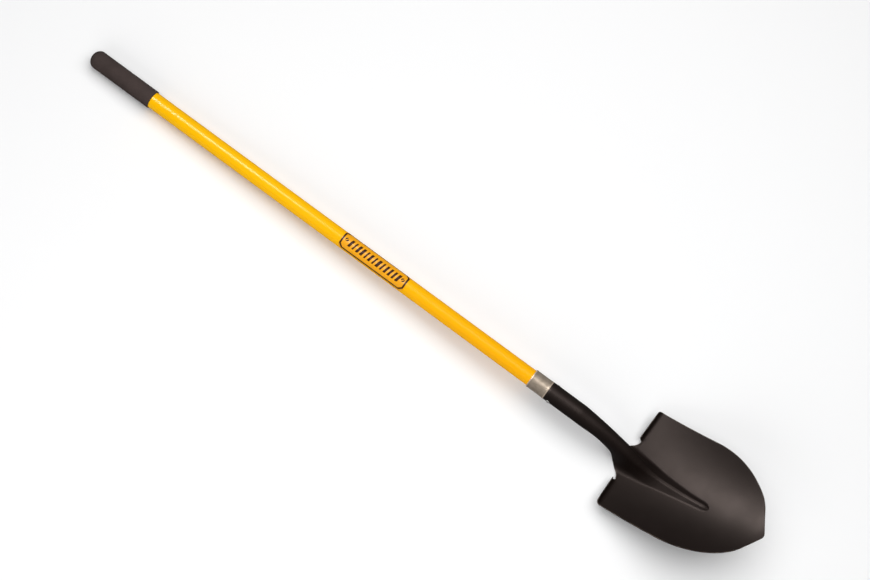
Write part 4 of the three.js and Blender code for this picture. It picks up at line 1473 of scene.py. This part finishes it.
# ---------------------------------------------------------------- stage
def soft_light(name, at, target, width, height, power):
    """An area light in handle coordinates, in metres, its width along the handle."""
    data = bpy.data.lights.new(name, "AREA")
    data.shape = "RECTANGLE"
    data.size = width
    data.size_y = height
    data.energy = power
    light = bpy.data.objects.new(name, data)
    bpy.context.scene.collection.objects.link(light)
    spot = PLACE @ (Vector(at) * 1000)
    aim = PLACE @ (Vector(target) * 1000)
    away = (spot - aim).normalized()
    along = (PLACE.to_3x3() @ Vector((1, 0, 0))).normalized()
    along = (along - away * along.dot(away)).normalized()
    across = away.cross(along)
    turn = Matrix((along, across, away)).transposed().to_4x4()
    light.matrix_world = Matrix.Translation(spot) @ turn
    light.visible_camera = False
    return light


# In metres. The floor lies a hair below the lowest point, so that a finely meshed heel never cuts it.
FLOOR_SIZE = 14.0
FLOOR_GAP = 0.0007
WORLD_COLOUR = (0.95, 0.96, 1.0, 1)
WORLD_STRENGTH = 0.09
# Where the foot rests stand from the middle of the view.
VIEW_CENTRE = (0.35346, -0.29035)
# Place, target, width, height, watts, seen by matt surfaces, seen in reflections.
LIGHTS = {
    "Key": ((-1.45, 0.0, 1.35), (0.1, 0, 0), 1.0, 0.5, 35, False, True),
    "Strip": ((-0.42, 0.0, 1.6), (-0.42, 0, 0), 1.3, 0.55, 7, False, True),
    "Fill": ((-0.3, 0.3, 2.6), (-0.3, 0, 0), 4.0, 4.0, 118, True, False),
    "Side Fill": ((-0.3, -2.4, 1.3), (-0.3, 0, 0), 3.0, 1.6, 28, True, False),
}


def make_stage():
    stage = bpy.context.scene.shovel_stage
    bpy.ops.mesh.primitive_plane_add(size=FLOOR_SIZE)
    floor = bpy.context.object
    floor.name = "Studio_Floor"
    floor.data.transform(Matrix.Translation((0, 0, -FLOOR_GAP)))
    floor.data.materials.append(studio_floor())
    floor.visible_glossy = False

    world = bpy.data.worlds.new("Studio")
    bpy.context.scene.world = world
    world.use_nodes = True
    background = world.node_tree.nodes["Background"]
    background.inputs["Color"].default_value = WORLD_COLOUR
    background.inputs["Strength"].default_value = WORLD_STRENGTH

    for name, (at, target, width, height, power, matt, glossy) in LIGHTS.items():
        light = soft_light(name, at, target, width, height, power)
        light.visible_diffuse = matt
        light.visible_glossy = glossy

    data = bpy.data.cameras.new("Camera")
    data.sensor_width = 36
    data.lens = stage.lens
    data.clip_end = 50
    camera = bpy.data.objects.new("Camera", data)
    bpy.context.scene.collection.objects.link(camera)
    turn = (
        Matrix.Rotation(-stage.roll, 4, "Z")
        @ Matrix.Rotation(-stage.lead, 4, "Y")
        @ Matrix.Rotation(-stage.side, 4, "X")
    )
    view = Matrix.Translation((*VIEW_CENTRE, -stage.distance)) @ turn
    ground = Matrix.Translation(HANDLE_ORIGIN) @ Matrix.Rotation(-TILT, 4, "Y")
    camera.matrix_world = ground @ view.inverted()
    bpy.context.scene.camera = camera
    bpy.context.scene.view_settings.view_transform = "Standard"


# ---------------------------------------------------------------- operators
def piece_operator(key, label, text, maker):
    """An operator that builds one piece."""

    def execute(self, context):
        maker()
        return {"FINISHED"}

    body = {"bl_idname": f"shovel.{key}", "bl_label": label, "bl_options": {"REGISTER", "UNDO"}}
    body["__doc__"] = text
    body["execute"] = execute
    return type(f"SHOVEL_OT_{key}", (bpy.types.Operator,), body)


OPERATORS = [
    piece_operator("blade", "Blade", "Press the blade with its frog, foot rests and socket", make_blade),
    piece_operator("collar", "Collar", "Turn the steel collar", make_collar),
    piece_operator("rivet", "Rivet", "Set the rivet across the socket", make_rivet),
    piece_operator("shaft", "Shaft", "Pull the fibreglass tube", make_shaft),
    piece_operator("plugs", "Plugs", "Turn the dowel and the plug inside the tube", make_plugs),
    piece_operator("grip", "Grip", "Mould the foam grip", make_grip),
    piece_operator("label", "Label", "Wrap the label's film", make_label),
    piece_operator("print", "Print", "Print the label's marks", make_print),
    piece_operator("stage", "Stage", "Set the floor, lights and camera", make_stage),
]


class SHOVEL_PT_panel(bpy.types.Panel):
    """Sizes, colours and pieces of the shovel"""

    bl_label = "Shovel"
    bl_idname = "SHOVEL_PT_panel"
    bl_space_type = "VIEW_3D"
    bl_region_type = "UI"
    bl_category = "Shovel"

    def draw(self, context):
        for name in GROUPS:
            group = getattr(context.scene, name)
            box = self.layout.box()
            for key in group.bl_rna.properties.keys():
                if key not in ("rna_type", "name"):
                    box.prop(group, key)
        for operator in OPERATORS:
            self.layout.operator(operator.bl_idname)


CLASSES = [*GROUPS.values(), *OPERATORS, SHOVEL_PT_panel]


def register():
    for cls in CLASSES:
        bpy.utils.register_class(cls)
    for name, group in GROUPS.items():
        setattr(bpy.types.Scene, name, bpy.props.PointerProperty(type=group))


def unregister():
    for name in GROUPS:
        delattr(bpy.types.Scene, name)
    for cls in reversed(CLASSES):
        bpy.utils.unregister_class(cls)


def main():
    register()
    for operator in OPERATORS:
        group, name = operator.bl_idname.split(".")
        getattr(getattr(bpy.ops, group), name)()


if __name__ == "__main__":
    main()
